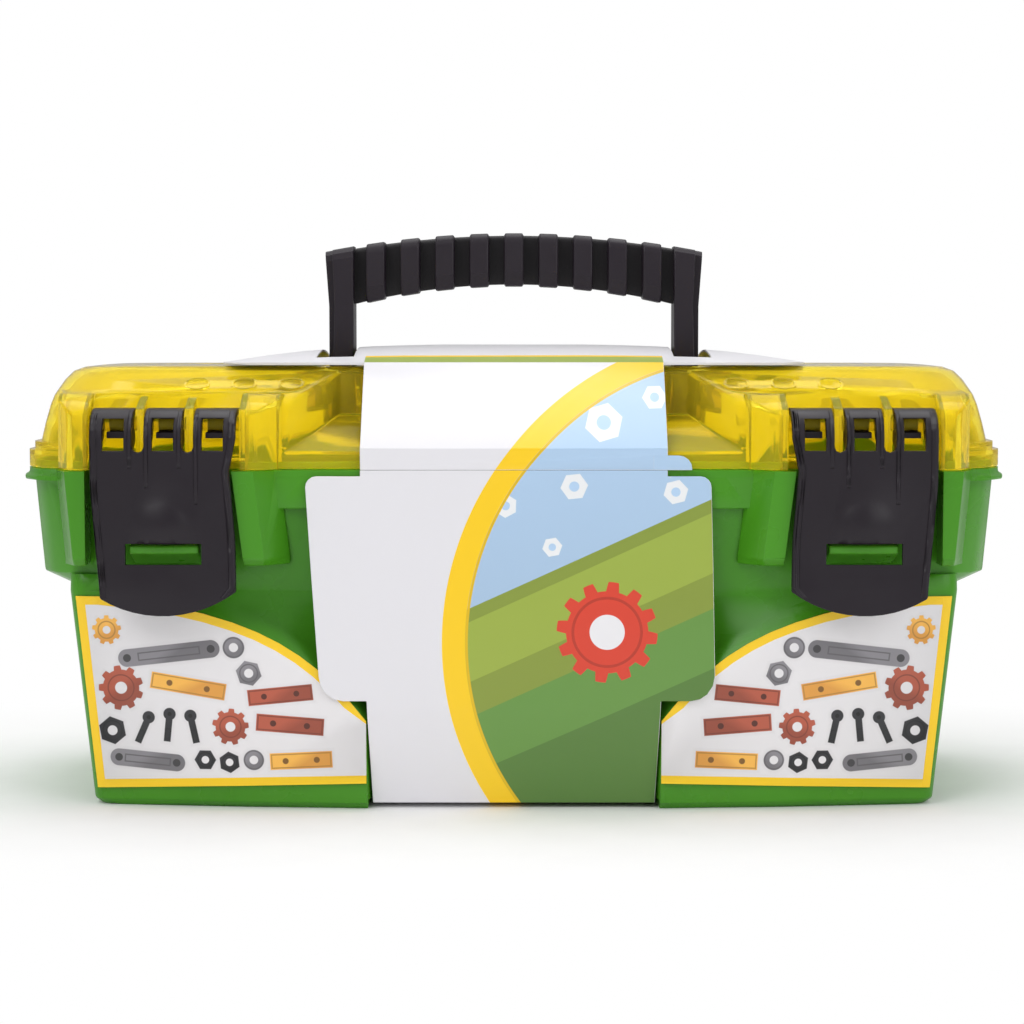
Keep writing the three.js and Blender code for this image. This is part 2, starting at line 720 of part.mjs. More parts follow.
function latchHook(side, middle) {
  const half = hookWidth / 2;
  const front = latchFrontReach - strapThickness / 2;
  const tail = axisReach - hookTail * cheekTailShare;
  const top = axisHeight + hookRise - strapThickness / 2;
  const cheek = [
    [front, hookRoot - cheekWall], [front, axisHeight - hookDrop],
    ...cheekCrownShares.map(([out, up]) => [mix(axisReach, front, out), axisHeight + up * hookRise]),
    [axisReach, top], [tail, top], [tail, axisHeight],
    ...cheekLowShares.map(([out, down]) => [mix(tail, axisReach, out), axisHeight - down * hookRise]),
  ];
  const cheeks = sides.map((end) => {
    const outer = middle + end * half;
    return profileX(cheek, outer, outer - end * cheekWall);
  });
  const curlTop = axisHeight - boreRadius;
  const curlLow = curlTop - curlThickness;
  const back = axisReach - hookTail * curlTailShare;
  const inner = axisReach - boreRadius * curlRootShare;
  const curl = profileX([
    [back, top], [inner, top], [inner, curlTop], [axisReach + boreRadius, curlTop], [axisReach + boreRadius, curlLow],
    [back + curlThickness / 2, curlLow], [back, curlTop],
  ], middle - curlWidth / 2, middle + curlWidth / 2);
  return join([...cheeks, curl]);
}

function latchSolid(side) {
  const centre = side * latchCentre;
  const middles = [-1, 0, 1].map((step) => centre + side * step * hookPitch);
  const wide = latchHalfWidth + overrun;
  const strap = profileX(strapOutline(), centre - wide, centre + wide).intersect(latchFace(side));
  const gapHalf = (hookPitch - hookWidth) / 2;
  const gaps = sides.map((end) => {
    const middle = centre + end * hookPitch / 2;
    const root = hookRoot + gapHalf;
    const outline = [[middle + gapHalf, lidTop], ...arc(middle, root, gapHalf, 0, -Math.PI, cornerSteps),
      [middle - gapHalf, lidTop]];
    return alongY(outline, -latchAhead, 0);
  });
  const windows = middles.map((middle) => {
    const top = axisHeight + windowTopFromAxis;
    return block(middle - windowWidth / 2, middle + windowWidth / 2, -latchFrontReach - overrun,
      -(axisReach + boreRadius), top - windowHeight, top);
  });
  const slot = block(centre - slotHalfWidth, centre + slotHalfWidth, -latchFrontReach - overrun, -bandReach,
    slotLow, slotTop);
  const flanges = sides.map((end) => {
    const outer = centre + end * (latchHalfWidth - flangeInset);
    return block(outer, outer - end * flangeWall, -latchFrontReach + latchWall / 2,
      -(latchBackReach - flangeDepth), slotLow, hookRoot);
  });
  const domeHeight = slotTop + domeRadius * domeRiseShare;
  const dome = loft(domeShares.map(([size, out]) => arc(
    centre, domeHeight, domeRadius * size, 0, 4 * quarter * (1 - 1 / roundSides), roundSides - 1,
  ).map(([x, z]) => at(x, -latchFrontReach - out * domeProud, z))));
  const hooks = middles.map((middle) => latchHook(side, middle));
  const whole = join([cut(strap, gaps), dome, ...flanges, ...hooks]);
  const bore = barX(boreRadius, centre - wide, centre + wide, -axisReach, axisHeight);
  return cut(whole, [...windows, slot, bore]);
}

// Handle

const gripTopAt = (x) => handleTop - gripCrown * (x / (legOuter + legFlare)) ** 2;
const gripUnderAt = (x) => handleTop - gripThickness - gripUnderCrown * (x / legInner) ** 2;

function handleSolid() {
  const low = pivotHeight - legHalfDepth - overrun;
  const top = legOuter + legFlare;
  const spread = (from, to, heightAt) => Array.from({ length: curveSteps + 1 }, (unused, i) => {
    const x = mix(from, to, i / curveSteps);
    return [x, heightAt(x)];
  });
  const frontView = alongY([
    [-legOuter, low], ...spread(-top, top, gripTopAt), [legOuter, low], [legInner, low],
    ...spread(legInner, -legInner, gripUnderAt), [-legInner, low],
  ], -legHalfDepth, legHalfDepth);
  const edge = legHalfDepth / 4;
  const sideView = alongX([
    ...arc(0, pivotHeight, legHalfDepth, 0, -2 * quarter, curveSteps),
    [-legHalfDepth, handleTop - gripCrown - edge], [-legHalfDepth + edge, handleTop],
    [legHalfDepth - edge, handleTop], [legHalfDepth, handleTop - gripCrown - edge],
  ], -top - overrun, top + overrun);
  const legCentre = (legOuter + legInner) / 2;
  const pitch = 2 * legCentre / (gripRibCount + 1);
  const grooves = Array.from({ length: gripRibCount + 1 }, (unused, i) => {
    const x = pitch * (i + 0.5) - legCentre;
    const half = (pitch - gripRibWidth) / 2;
    const crest = gripTopAt(x);
    const pockets = sides.map((face) => block(x - half, x + half, face * (legHalfDepth - gripGrooveDepth),
      face * (legHalfDepth + overrun), gripUnderAt(x) + gripGrooveMargin, crest - gripGrooveMargin));
    return join([
      ...pockets,
      block(x - half, x + half, -legHalfDepth - overrun, legHalfDepth + overrun, crest - gripRibProud, crest + overrun),
    ]);
  });
  const studs = sides.map((side) => barX(studRadius, side * legCentre, side * (legOuter + studLength), 0, pivotHeight));
  return join([cut(frontView.intersect(sideView), grooves), ...studs]);
}

// Hinge pin
function hingePin(side) {
  const half = knuckleLength / 2 + knuckleGap + knuckleLength + pinOverhang;
  return barX(pinRadius, side * hingeCentre - half, side * hingeCentre + half, hingeReach, hingeHeight);
}

// Label on a front lobe: a thin skin that follows the lobe under its ridge.
function labelSolid(side) {
  const top = besideCurve(ridge(ridgeFaceShares), labelMargin);
  const endAt = (z) => mix(baseHalf, waistHalf, z / waistHeight) - labelEndMargin;
  const inside = top.filter(([x, z]) => x < endAt(z));
  const [lowX] = inside[0];
  const [, highZ] = inside[inside.length - 1];
  const [inFoot, outFoot] = labelFootShares.map((share) => share * waistHeight);
  const outline = [[lowX, inFoot], ...inside, [endAt(highZ), highZ], [endAt(outFoot), outFoot]];
  const skin = lowerBody(-labelGap - labelThickness, -overrun).subtract(lowerBody(-labelGap, -2 * overrun));
  return skin.intersect(alongY(outline.map(([x, z]) => [side * x, z]), -2 * lobeReach, 0));
}

// Card sleeve

// The sleeve from the front: a strap with two wide ears below the seam.
function sleeveOutline(low, high) {
  const earTop = tubHeight - earTopDrop;
  const earLow = earTop - earHeight;
  const half = (end, k) => {
    const top = earTopWidths[k];
    const foot = earLowWidths[k];
    const strapLow = mix(strapHalfWidth - strapDraft / 2, footStrapHalfWidth, strapLowShare);
    return [
      [end * footStrapHalfWidth, low], [end * strapLow, earLow],
      ...arc(foot - earCornerRadius, earLow + earCornerRadius, earCornerRadius, -quarter, 0, cornerSteps)
        .map(([x, z]) => [end * x, z]),
      ...arc(top - shoulderRadius, earTop - shoulderRadius, shoulderRadius, 0, quarter, cornerSteps)
        .map(([x, z]) => [end * x, z]),
      [end * strapHalfWidth, earTop], [end * strapHalfWidth, high],
    ];
  };
  return [...half(1, 1), ...half(-1, 0).reverse()];
}

// A thick strip along an open side path, given as (reach, height) on its inner face.
function strip(path, outward, halfWidth) {
  const outer = besideCurve(path, outward * cardThickness).reverse();
  return profileX([...path, ...outer], -halfWidth, halfWidth);
}

function sleeveLower() {
  const belly = rimReach + cardBelly;
  const [out, high, low] = cardBellyShares;
  const path = [
    [cardReach, tubHeight], [cardReach, rimLow - overrun / 2], [mix(cardReach, belly, out), bandLow],
    [belly, mix(bandLow, 0, high)], [belly, mix(bandLow, 0, low)],
    [rimReach - cardFootInset, cardLow + cardThickness], [-(backReach - lobeDraft + cardGap), cardLow + cardThickness],
    [-cardReach, rimLow - overrun / 2], [-cardReach, tubHeight],
  ];
  const band = strip(path, -1, Math.max(...earTopWidths));
  return band.intersect(alongY(sleeveOutline(-overrun, tubHeight + overrun), -2 * rimReach, 2 * rimReach));
}

function sleeveUpper() {
  const flat = lidTop + cardGap;
  const flap = (facing) => {
    const path = [[cardReach, seamHeight], [cardReach, ledgeHeight + cardGap], [cardFoldReach, flat + cardThickness / 2]];
    const inner = path.map(([reach, z]) => [facing * reach, z]);
    return strip(inner, facing, strapHalfWidth);
  };
  const panel = loft(Array.from({ length: 2 * cardSteps + 1 }, (unused, i) => {
    const across = mix(-1, 1, i / (2 * cardSteps));
    const x = across * wingHalfWidth;
    const under = Array.from({ length: cardSteps + 1 }, (none, k) => {
      const depth = mix(-1, 1, k / cardSteps);
      const rise = cardBulge * (1 - Math.abs(across) ** 3) * (1 - depth ** 2);
      return at(x, depth * (cardFoldReach + cardThickness / 2), flat + rise);
    });
    const over = under.map((p) => at(p.x, p.y, p.z + cardThickness)).reverse();
    return [...under, ...over];
  }));
  const inner = wingHalfWidth - wingCornerRadius;
  const deep = cardFoldReach + cardThickness - wingCornerRadius;
  const corners = [[1, 1, 0], [-1, 1, 1], [-1, -1, 2], [1, -1, 3]].flatMap(([sx, sy, turn]) => arc(
    sx * inner, sy * deep, wingCornerRadius, turn * quarter, (turn + 1) * quarter, cornerSteps,
  ));
  const wings = panel.intersect(alongZ(corners, seamHeight, handleTop));
  const strap = panel.intersect(block(-strapHalfWidth, strapHalfWidth, -rimReach, rimReach, seamHeight, handleTop));
  const slots = sides.map((side) => block(
    side * (legInner - cardSlotGap), side * (legOuter + legFlare + cardSlotGap),
    -cardSlotHalfLength, cardSlotHalfLength, lidTop - overrun, handleTop,
  ));
  const tab = alongY([
    [strapHalfWidth - overrun, seamHeight], [strapHalfWidth + tabWidth, seamHeight],
    ...arc(strapHalfWidth + tabWidth - tabRise, seamHeight, tabRise, 0, quarter, cornerSteps),
    [strapHalfWidth - overrun, seamHeight + tabRise],
  ], -cardReach - cardThickness, -cardReach);
  return cut(join([wings, strap, flap(1), flap(-1), tab]), slots);
}

// Materials and the assembly
const plastic = (color, roughness) => new THREE.MeshStandardMaterial({ color, roughness, metalness: 0 });
const green = plastic(0x4c9a2a, 0.35);
const yellow = plastic(0xf2cf1d, 0.15);
const black = plastic(0x2f2a31, 0.5);
const card = plastic(0xe6e2ec, 0.6);
const paper = plastic(0xf5f3ef, 0.5);
const steel = new THREE.MeshStandardMaterial({ color: 0xb8babd, roughness: 0.3, metalness: 1 });

const group = new THREE.Group();
const place = (name, solid, material) => {
  const mesh = new THREE.Mesh(geometryOf(solid), material.clone());
  mesh.name = name;
  group.add(mesh);
};

place('tub', tubSolid(), green);
place('lid', lidSolid(), yellow);
place('handle', handleSolid(), black);
[['left', -1], ['right', 1]].forEach(([name, side]) => {
  place(`latch_${name}`, latchSolid(side), black);
  place(`hinge_pin_${name}`, hingePin(side), steel);
  place(`label_${name}`, labelSolid(side), paper);
});
place('sleeve_upper', sleeveUpper(), card);
place('sleeve_lower', sleeveLower(), card);

// The middle of the overall box, from the latch lips to the hinge knuckles, stands on y = 0.
group.position.y = (latchFrontReach + latchLipFlare - hingeReach - knuckleRadius) / 2;

export default group;
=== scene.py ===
"""The looks of a toy tool box: a moulded tub, a clear lid, a ribbed handle, two latches,
a printed card sleeve and two printed labels. Metres, +Z up, the latches face -Y."""
import json
import math

import bmesh
import bpy
from mathutils import Matrix, Vector


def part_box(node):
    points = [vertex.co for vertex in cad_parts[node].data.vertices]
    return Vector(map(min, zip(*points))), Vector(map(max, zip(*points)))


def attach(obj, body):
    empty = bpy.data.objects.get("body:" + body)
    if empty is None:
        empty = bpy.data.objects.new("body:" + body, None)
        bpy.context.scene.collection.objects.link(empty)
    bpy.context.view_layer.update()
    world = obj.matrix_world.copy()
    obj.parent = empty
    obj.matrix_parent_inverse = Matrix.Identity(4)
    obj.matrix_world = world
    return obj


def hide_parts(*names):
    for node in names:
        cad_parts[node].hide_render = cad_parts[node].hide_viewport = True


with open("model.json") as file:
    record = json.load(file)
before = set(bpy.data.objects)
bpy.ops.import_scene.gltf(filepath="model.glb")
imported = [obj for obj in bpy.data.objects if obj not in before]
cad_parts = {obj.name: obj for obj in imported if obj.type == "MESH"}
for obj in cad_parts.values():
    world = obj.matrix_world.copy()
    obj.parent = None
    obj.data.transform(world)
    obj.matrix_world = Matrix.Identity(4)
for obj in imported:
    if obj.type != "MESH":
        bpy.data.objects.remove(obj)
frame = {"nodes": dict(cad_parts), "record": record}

bl_info = {
    "name": "Toy tool box",
    "version": (1, 0, 0),
    "blender": (4, 5, 0),
    "location": "3D View > Sidebar > Tool box",
    "description": "Models the shells, prints and finishes of a toy tool box",
    "category": "Object",
}

MM = 0.001
MERGE = 2e-6  # corners nearer than this become one
FOLD = 6e-7  # the area by which a face's triangles may exceed it
SHARP = math.radians(28)  # edges sharper than this are rounded
TURN = math.radians(9)  # edges flatter than this take no room at a corner
WHITE_INK = (0.86, 0.88, 0.9)
BODY_OF = {node: body for body, nodes in frame["record"]["behaviour"]["bodies"].items() for node in nodes}
SIDES = (-1, 1)


def size(name, default, description):
    return bpy.props.FloatProperty(name=name, default=default, description=description, unit="LENGTH", precision=5)


def tone(name, default, description):
    return bpy.props.FloatVectorProperty(
        name=name, default=default, description=description, subtype="COLOR", size=3, min=0, max=1)


class ToolboxColours(bpy.types.PropertyGroup):
    """The colours of the plastics and of the printing inks."""
    tub: tone("Tub", (0.062, 0.275, 0.012), "Green of the tub")
    lid: tone("Lid", (0.97, 0.81, 0.06), "Yellow tint of the lid")
    black: tone("Handle and latches", (0.0135, 0.0095, 0.0145), "Near black of the handle and the latches")
    card: tone("Card", (0.8, 0.79, 0.83), "White of the card")
    band: tone("Yellow ink", (1.0, 0.64, 0.005), "Yellow of the printed bands and borders")
    sky: tone("Pale blue ink", (0.43, 0.6, 0.81), "Upper field of the sleeve")
    meadow: tone("Leaf green ink", (0.34, 0.44, 0.06), "Middle field of the sleeve")
    moss: tone("Dark green ink", (0.1, 0.22, 0.04), "Foot of the sleeve")
    red: tone("Red ink", (0.72, 0.055, 0.025), "Gear wheel of the sleeve")
    brown: tone("Brown ink", (0.4, 0.085, 0.045), "Gear wheels of the labels")
    orange: tone("Orange ink", (0.93, 0.42, 0.07), "Printed plates")
    steel: tone("Grey ink", (0.22, 0.21, 0.23), "Printed nuts and washers")
    ink: tone("Black ink", (0.02, 0.02, 0.024), "Printed bolts")


class ToolboxRounding(bpy.types.PropertyGroup):
    """How far the edges of the mouldings are rounded."""
    tub: size("Tub edge", 0.0007, "Rounding of the tub's edges")
    boss: size("Boss edge", 0.0022, "Rounding of the upright edges of the bosses beside the latches")
    lid: size("Lid edge", 0.0006, "Rounding of the lid's edges")
    latch: size("Latch edge", 0.0005, "Rounding of the latches' edges")
    handle: size("Handle edge", 0.0006, "Rounding of the handle's edges")
    sheet: size("Sheet edge", 0.00015, "Rounding of the card's and labels' edges")
    rim_width: size("Latch rim width", 0.0026, "Width of the raised rims along a latch's sides")
    rim_depth: size("Latch rim height", 0.0007, "How far those rims stand out")
    dome: size("Latch dome", 0.0032, "How far the dome over a latch's slot stands out")


class ToolboxGrip(bpy.types.PropertyGroup):
    """The sizes of the carrying handle that its overall box doesn't give."""
    stud: size("Stud length", 0.008, "How far a stud stands out of its leg")
    stud_radius: size("Stud radius", 0.004, "Radius of a stud")
    leg: size("Leg width", 0.0098, "Width of a leg from the front")
    slope: size("Rib slope", 0.0026, "How far a rib's lower quarter draws back")
    depth: size("Depth", 0.0206, "Depth of the handle from front to back")
    flare: size("Leg flare", 0.0015, "How far a leg's top corner stands out")
    grip: size("Grip height", 0.0206, "Height of the grip at its middle")
    crown: size("Top crown", 0.0068, "Rise of the grip's top towards its middle")
    under: size("Under crown", 0.0076, "Rise of the grip's underside towards its middle")
    rib: size("Rib width", 0.0072, "Width of a rib of the grip")
    groove: size("Groove depth", 0.0072, "Depth of a groove between two ribs")
    draft: size("Rib draft", 0.0003, "How far a rib's side leans")
    notch: size("Top notch", 0.0008, "Depth of a groove in the grip's top")
    top_radius: size("Top radius", 0.004, "Rounding of the grip's top edges")
    foot_radius: size("Foot radius", 0.002, "Rounding of the grip's lower edges")
    strip: size("Leg strip", 0.0031, "Width of the sunken strip along a leg's outside, at its top")
    strip_low: size("Leg strip at the foot", 0.0016, "Width of that strip at the leg's foot")
    strip_depth: size("Leg strip depth", 0.0055, "How far that strip lies behind the leg's face")
    ribs: bpy.props.IntProperty(name="Ribs", default=9, min=1, description="Ribs along the grip")


class ToolboxPrint(bpy.types.PropertyGroup):
    """The sizes of the printed designs."""
    border: size("Label border", 0.0031, "Width of a label's yellow border")
    band: size("Sleeve band", 0.0085, "Width of the yellow band of the sleeve")
    blur: size("Ink edge", 0.0002, "Softness of the edge of a printed shape")


class ToolboxStage(bpy.types.PropertyGroup):
    """The floor, the lamps and the camera."""
    distance: size("Camera distance", 1.0271, "Distance of the camera in front of the middle")
    height: size("Camera height", 0.1795, "Height of the camera")
    tilt: bpy.props.FloatProperty(
        name="Camera tilt", default=math.radians(4.19), subtype="ANGLE", description="How far it looks down")
    turn: bpy.props.FloatProperty(
        name="Camera turn", default=math.radians(0.04), subtype="ANGLE", description="How far it looks left")
    lens: bpy.props.FloatProperty(name="Lens", default=92.18, description="Focal length in millimetres")
    floor: size("Floor half width", 3.0, "Half the width of the floor")
    world: bpy.props.FloatProperty(name="World light", default=0.5, description="Level of the light all round")


GROUPS = {
    "colours": ToolboxColours, "rounding": ToolboxRounding, "grip": ToolboxGrip,
    "printing": ToolboxPrint, "stage": ToolboxStage,
}


class ToolboxSettings(bpy.types.PropertyGroup):
    """All the sizes and colours of the tool box."""
    colours: bpy.props.PointerProperty(type=ToolboxColours)
    rounding: bpy.props.PointerProperty(type=ToolboxRounding)
    grip: bpy.props.PointerProperty(type=ToolboxGrip)
    printing: bpy.props.PointerProperty(type=ToolboxPrint)
    stage: bpy.props.PointerProperty(type=ToolboxStage)


def settings():
    return bpy.context.scene.toolbox


# Fields: numbers that vary over a surface, built from Math nodes

class Field:
    """A number that varies over a surface."""

    def __init__(self, tree, socket):
        self.tree = tree
        self.socket = socket

    def do(self, operation, *others, clamp=False):
        node = self.tree.nodes.new("ShaderNodeMath")
        node.operation = operation
        node.use_clamp = clamp
        for place, value in enumerate((self, *others)):
            if isinstance(value, Field):
                self.tree.links.new(value.socket, node.inputs[place])
            else:
                node.inputs[place].default_value = value
        return Field(self.tree, node.outputs[0])

    def __add__(self, other):
        return self.do("ADD", other)

    def __sub__(self, other):
        return self.do("SUBTRACT", other)

    def __mul__(self, other):
        return self.do("MULTIPLY", other)

    def least(self, other):
        return self.do("MINIMUM", other)

    def most(self, other):
        return self.do("MAXIMUM", other)

    def size(self):
        return self.do("ABSOLUTE")

    def mask(self, soft):
        """1 where this distance is below zero, 0 where it's above, with a soft edge."""
        return self.do("MULTIPLY_ADD", -1 / soft, 0.5, clamp=True)


def length(u, v):
    return (u * u + v * v).do("SQRT")


def turned(u, v, angle):
    c = math.cos(angle)
    s = math.sin(angle)
    return u * c + v * s, v * c - u * s


def bar(u, v, half_u, half_v):
    return (u.size() - half_u).most(v.size() - half_v)


def disc(u, v, radius):
    return length(u, v) - radius


def hexagon(u, v, apothem):
    half = math.sin(math.pi / 6)
    tall = math.cos(math.pi / 6)
    one = (u * tall + v * half).size()
    two = (u * tall - v * half).size()
    return v.size().most(one).most(two) - apothem


def gear(u, v, radius, teeth):
    """A wheel whose rim runs out and in by a sine wave with its tops cut flat."""
    sharpness = 3
    wave = (u.do("ARCTAN2", v) * teeth).do("SINE") * sharpness
    tooth = wave.least(1).most(-1) * (radius * 0.09)
    return length(u, v) - tooth - radius * 0.88


# Materials

class Paint:
    """A material under construction, with its coordinates and its Principled shader."""

    def __init__(self, name):
        self.material = bpy.data.materials.new(name)
        self.material.use_nodes = True
        self.tree = self.material.node_tree
        self.shader = self.tree.nodes["Principled BSDF"]
        self.place = self.tree.nodes.new("ShaderNodeTexCoord").outputs["Object"]

    def link(self, source, target):
        self.tree.links.new(source, target)

    def noise(self, scale, detail=3, stretch=None):
        node = self.tree.nodes.new("ShaderNodeTexNoise")
        node.inputs["Scale"].default_value = scale
        node.inputs["Detail"].default_value = detail
        source = self.place
        if stretch:
            mapping = self.tree.nodes.new("ShaderNodeMapping")
            mapping.inputs["Scale"].default_value = stretch
            self.link(self.place, mapping.inputs["Vector"])
            source = mapping.outputs[0]
        self.link(source, node.inputs["Vector"])
        return Field(self.tree, node.outputs["Fac"])

    def between(self, field, low, high):
        """A number that runs from low to high as the noise runs over its middle range."""
        node = self.tree.nodes.new("ShaderNodeMapRange")
        node.inputs["From Min"].default_value = 0.3
        node.inputs["From Max"].default_value = 0.7
        node.inputs["To Min"].default_value = low
        node.inputs["To Max"].default_value = high
        self.link(field.socket, node.inputs["Value"])
        return Field(self.tree, node.outputs[0])

    def over(self, under, colour, mask):
        """The colour laid over what is under it, where the mask is 1."""
        node = self.tree.nodes.new("ShaderNodeMix")
        node.data_type = "RGBA"
        for socket, value in ((node.inputs[6], under), (node.inputs[7], colour)):
            if isinstance(value, bpy.types.NodeSocket):
                self.link(value, socket)
            else:
                socket.default_value = (*value, 1)
        self.link(mask.socket, node.inputs[0])
        return node.outputs[2]

    def bump(self, field, strength, distance):
        node = self.tree.nodes.new("ShaderNodeBump")
        node.inputs["Strength"].default_value = strength
        node.inputs["Distance"].default_value = distance
        self.link(field.socket, node.inputs["Height"])
        self.link(node.outputs[0], self.shader.inputs["Normal"])

    def finish(self, colour, rough, **plain):
        """Sets the shader: a colour socket or value, a roughness field or value, and plain numbers."""
        if isinstance(colour, bpy.types.NodeSocket):
            self.link(colour, self.shader.inputs["Base Color"])
        else:
            self.shader.inputs["Base Color"].default_value = (*colour, 1)
        if isinstance(rough, Field):
            self.link(rough.socket, self.shader.inputs["Roughness"])
        else:
            self.shader.inputs["Roughness"].default_value = rough
        for name, value in plain.items():
            self.shader.inputs[name.replace("_", " ")].default_value = value
        return self.material


def shade(colour, factor):
    return tuple(min(1, channel * factor) for channel in colour)


def moulded(name, colour, low, high, grain, depth):
    """Moulded plastic: a slow drift of tone, a sheen that varies and a fine grain."""
    paint = Paint(name)
    drift = paint.between(paint.noise(14, stretch=(1, 1, 0.4)), 0, 1)
    base = paint.over(shade(colour, 0.9), shade(colour, 1.1), drift)
    sheen = paint.between(paint.noise(60), low, high)
    paint.bump(paint.noise(grain, detail=2), 0.25, depth)
    return paint.finish(base, sheen, IOR=1.5, Specular_IOR_Level=0.32)


def clear_plastic(name, colour):
    """Tinted clear plastic: glossy, a little milky, and open to the light of the lamps."""
    paint = Paint(name)
    drift = paint.between(paint.noise(18, stretch=(1, 1, 0.5)), 0, 1)
    base = paint.over(shade(colour, 0.96), shade(colour, 1.04), drift)
    sheen = paint.between(paint.noise(45), 0.05, 0.12)
    paint.bump(paint.noise(22, detail=1), 0.1, 0.0005)
    paint.finish(base, sheen, IOR=1.16, Specular_IOR_Level=1.0, Transmission_Weight=0.82)
    tree = paint.tree
    open_way = tree.nodes.new("ShaderNodeBsdfTransparent")
    open_way.inputs["Color"].default_value = (*colour, 1)
    shadow = Field(tree, tree.nodes.new("ShaderNodeLightPath").outputs["Is Shadow Ray"])
    mix = tree.nodes.new("ShaderNodeMixShader")
    paint.link((shadow * 0.92).socket, mix.inputs[0])
    paint.link(paint.shader.outputs[0], mix.inputs[1])
    paint.link(open_way.outputs[0], mix.inputs[2])
    paint.link(mix.outputs[0], tree.nodes["Material Output"].inputs["Surface"])
    return paint.material


def brushed_steel(name):
    """Drawn steel wire with fine lines along it."""
    paint = Paint(name)
    lines = paint.noise(500, stretch=(0.02, 1, 1))
    base = paint.over((0.5, 0.5, 0.52), (0.68, 0.68, 0.7), paint.between(lines, 0, 1))
    paint.bump(lines, 0.2, 0.00005)
    return paint.finish(base, paint.between(lines, 0.22, 0.4), Metallic=1.0)


def bare_card(name, colour):
    """The unprinted side and the edge of the card, with its fibres."""
    paint = Paint(name)
    fibres = paint.noise(900, detail=4)
    base = paint.over(shade(colour, 0.93), colour, paint.between(fibres, 0, 1))
    paint.bump(fibres, 0.3, 0.00005)
    return paint.finish(base, 0.75)


def varnished(paint, colour):
    """Ink on card or film under a thin varnish, with a faint unevenness."""
    uneven = paint.noise(120)
    paint.bump(uneven, 0.1, 0.0001)
    return paint.finish(colour, paint.between(uneven, 0.3, 0.42), Coat_Weight=0.15, Coat_Roughness=0.2)


# Printed designs

def axes(paint):
    split = paint.tree.nodes.new("ShaderNodeSeparateXYZ")
    paint.link(paint.place, split.inputs[0])
    return [Field(paint.tree, socket) for socket in split.outputs]


LABEL_FIGURES = (
    # kind, ink, place from the lobe's middle and height, half length, half width and turn, in mm and degrees
    ("gear", "orange", -42, 66, 5.6, 0, 10), ("link", "steel", -19, 57.5, 19, 3.3, -7),
    ("washer", "steel", 5, 60, 4, 0, 0), ("gear", "brown", -37, 44.5, 8.6, 0, 0),
    ("plate", "orange", -12, 45.5, 14, 3.1, 9), ("nut", "steel", 10.5, 50.5, 4.2, 0, 12),
    ("plate", "brown", 22, 42.5, 12, 3, -6), ("nut", "ink", -40.5, 28.5, 4.6, 0, 20),
    ("bolt", "ink", -28.5, 30, 6.4, 0, 24), ("bolt", "ink", -19.5, 31, 6.4, 0, 6),
    ("bolt", "ink", -10.5, 30.5, 6.4, 0, -12),
    ("gear", "brown", 3.5, 30.5, 7, 0, 14), ("plate", "brown", 25.5, 31.5, 12.5, 3.2, 4),
    ("link", "steel", -27.5, 17.6, 14, 3.2, 5), ("nut", "ink", -6, 18, 3.5, 0, 0),
    ("nut", "ink", 3, 17.2, 3.5, 0, 24),
    ("washer", "steel", 12, 18.2, 3.8, 0, 0), ("plate", "orange", 29.5, 18.2, 11.5, 3.1, -3),
)


def figure(kind, u, v, reach, half):
    """The form, the holes and the inner line of a printed figure, as distances."""
    if kind == "gear":
        return gear(u, v, reach, 9), disc(u, v, reach * 0.26), disc(u, v, reach * 0.56)
    if kind == "nut":
        return hexagon(u, v, reach), disc(u, v, reach * 0.4), disc(u, v, reach * 0.78)
    if kind == "washer":
        return disc(u, v, reach), disc(u, v, reach * 0.42), disc(u, v, reach * 0.9)
    if kind == "link":
        spine = length((u.size() - (reach - half)).most(0), v)
        ends = disc(u.size() - (reach - half), v, half * 0.45)
        return spine - half, ends, bar(u, v, reach * 0.6, half * 0.4)
    if kind == "plate":
        holes = disc(u.size() - reach * 0.5, v, half * 0.36)
        return bar(u, v, reach, half), holes, bar(u, v, reach - half * 0.2, half * 0.8)
    up = v - reach * 0.62
    shank = bar(u, v + reach * 0.2, reach * 0.2, reach * 0.8)
    thread = bar(u, v + reach * 0.55, reach * 0.12, reach * 0.3)
    return disc(u, up, reach * 0.36).least(shank), disc(u, up, reach * 0.12), thread


def label_print(name, colours, side, middle, blur):
    """White film with gears, nuts, washers, bolts and punched plates."""
    paint = Paint(name)
    x, _, z = axes(paint)
    white = (0.84, 0.82, 0.84)
    colour = white
    out = x * side
    for kind, ink, place, height, scale, half, turn in LABEL_FIGURES:
        u, v = turned(out - (middle - place * MM), z - height * MM, math.radians(turn))
        tone_of = getattr(colours, ink)
        form, holes, line = figure(kind, u, v, scale * MM, half * MM)
        shadow = (form - 0.2 * MM).mask(2.6 * MM) * 0.3
        colour = paint.over(colour, (0.5, 0.47, 0.5), shadow)
        worn = paint.over(shade(tone_of, 0.85), shade(tone_of, 1.25), paint.between(u * 60 + v * 90 + 0.5, 0, 1))
        colour = paint.over(colour, worn, form.mask(blur))
        colour = paint.over(colour, shade(tone_of, 0.5), (line.size() - 0.25 * MM).mask(blur) * 0.8)
        through = white if kind in ("gear", "nut", "washer") else shade(tone_of, 0.25)
        colour = paint.over(colour, through, holes.mask(blur))
    return varnished(paint, colour)


SLEEVE_NUTS = (
    # place, height, half width and turn, in mm and degrees
    (-14, 143, 5.4, 8), (9, 150, 3.6, 24), (33, 142, 6.2, 16), (52, 151, 4, 2), (-27, 128, 3.4, 20),
    (22, 119, 4.4, 6), (59, 117, 4, 14), (-3, 112, 3.8, 28), (62, 96, 3.2, 0), (14, 97, 3.2, 10),
)


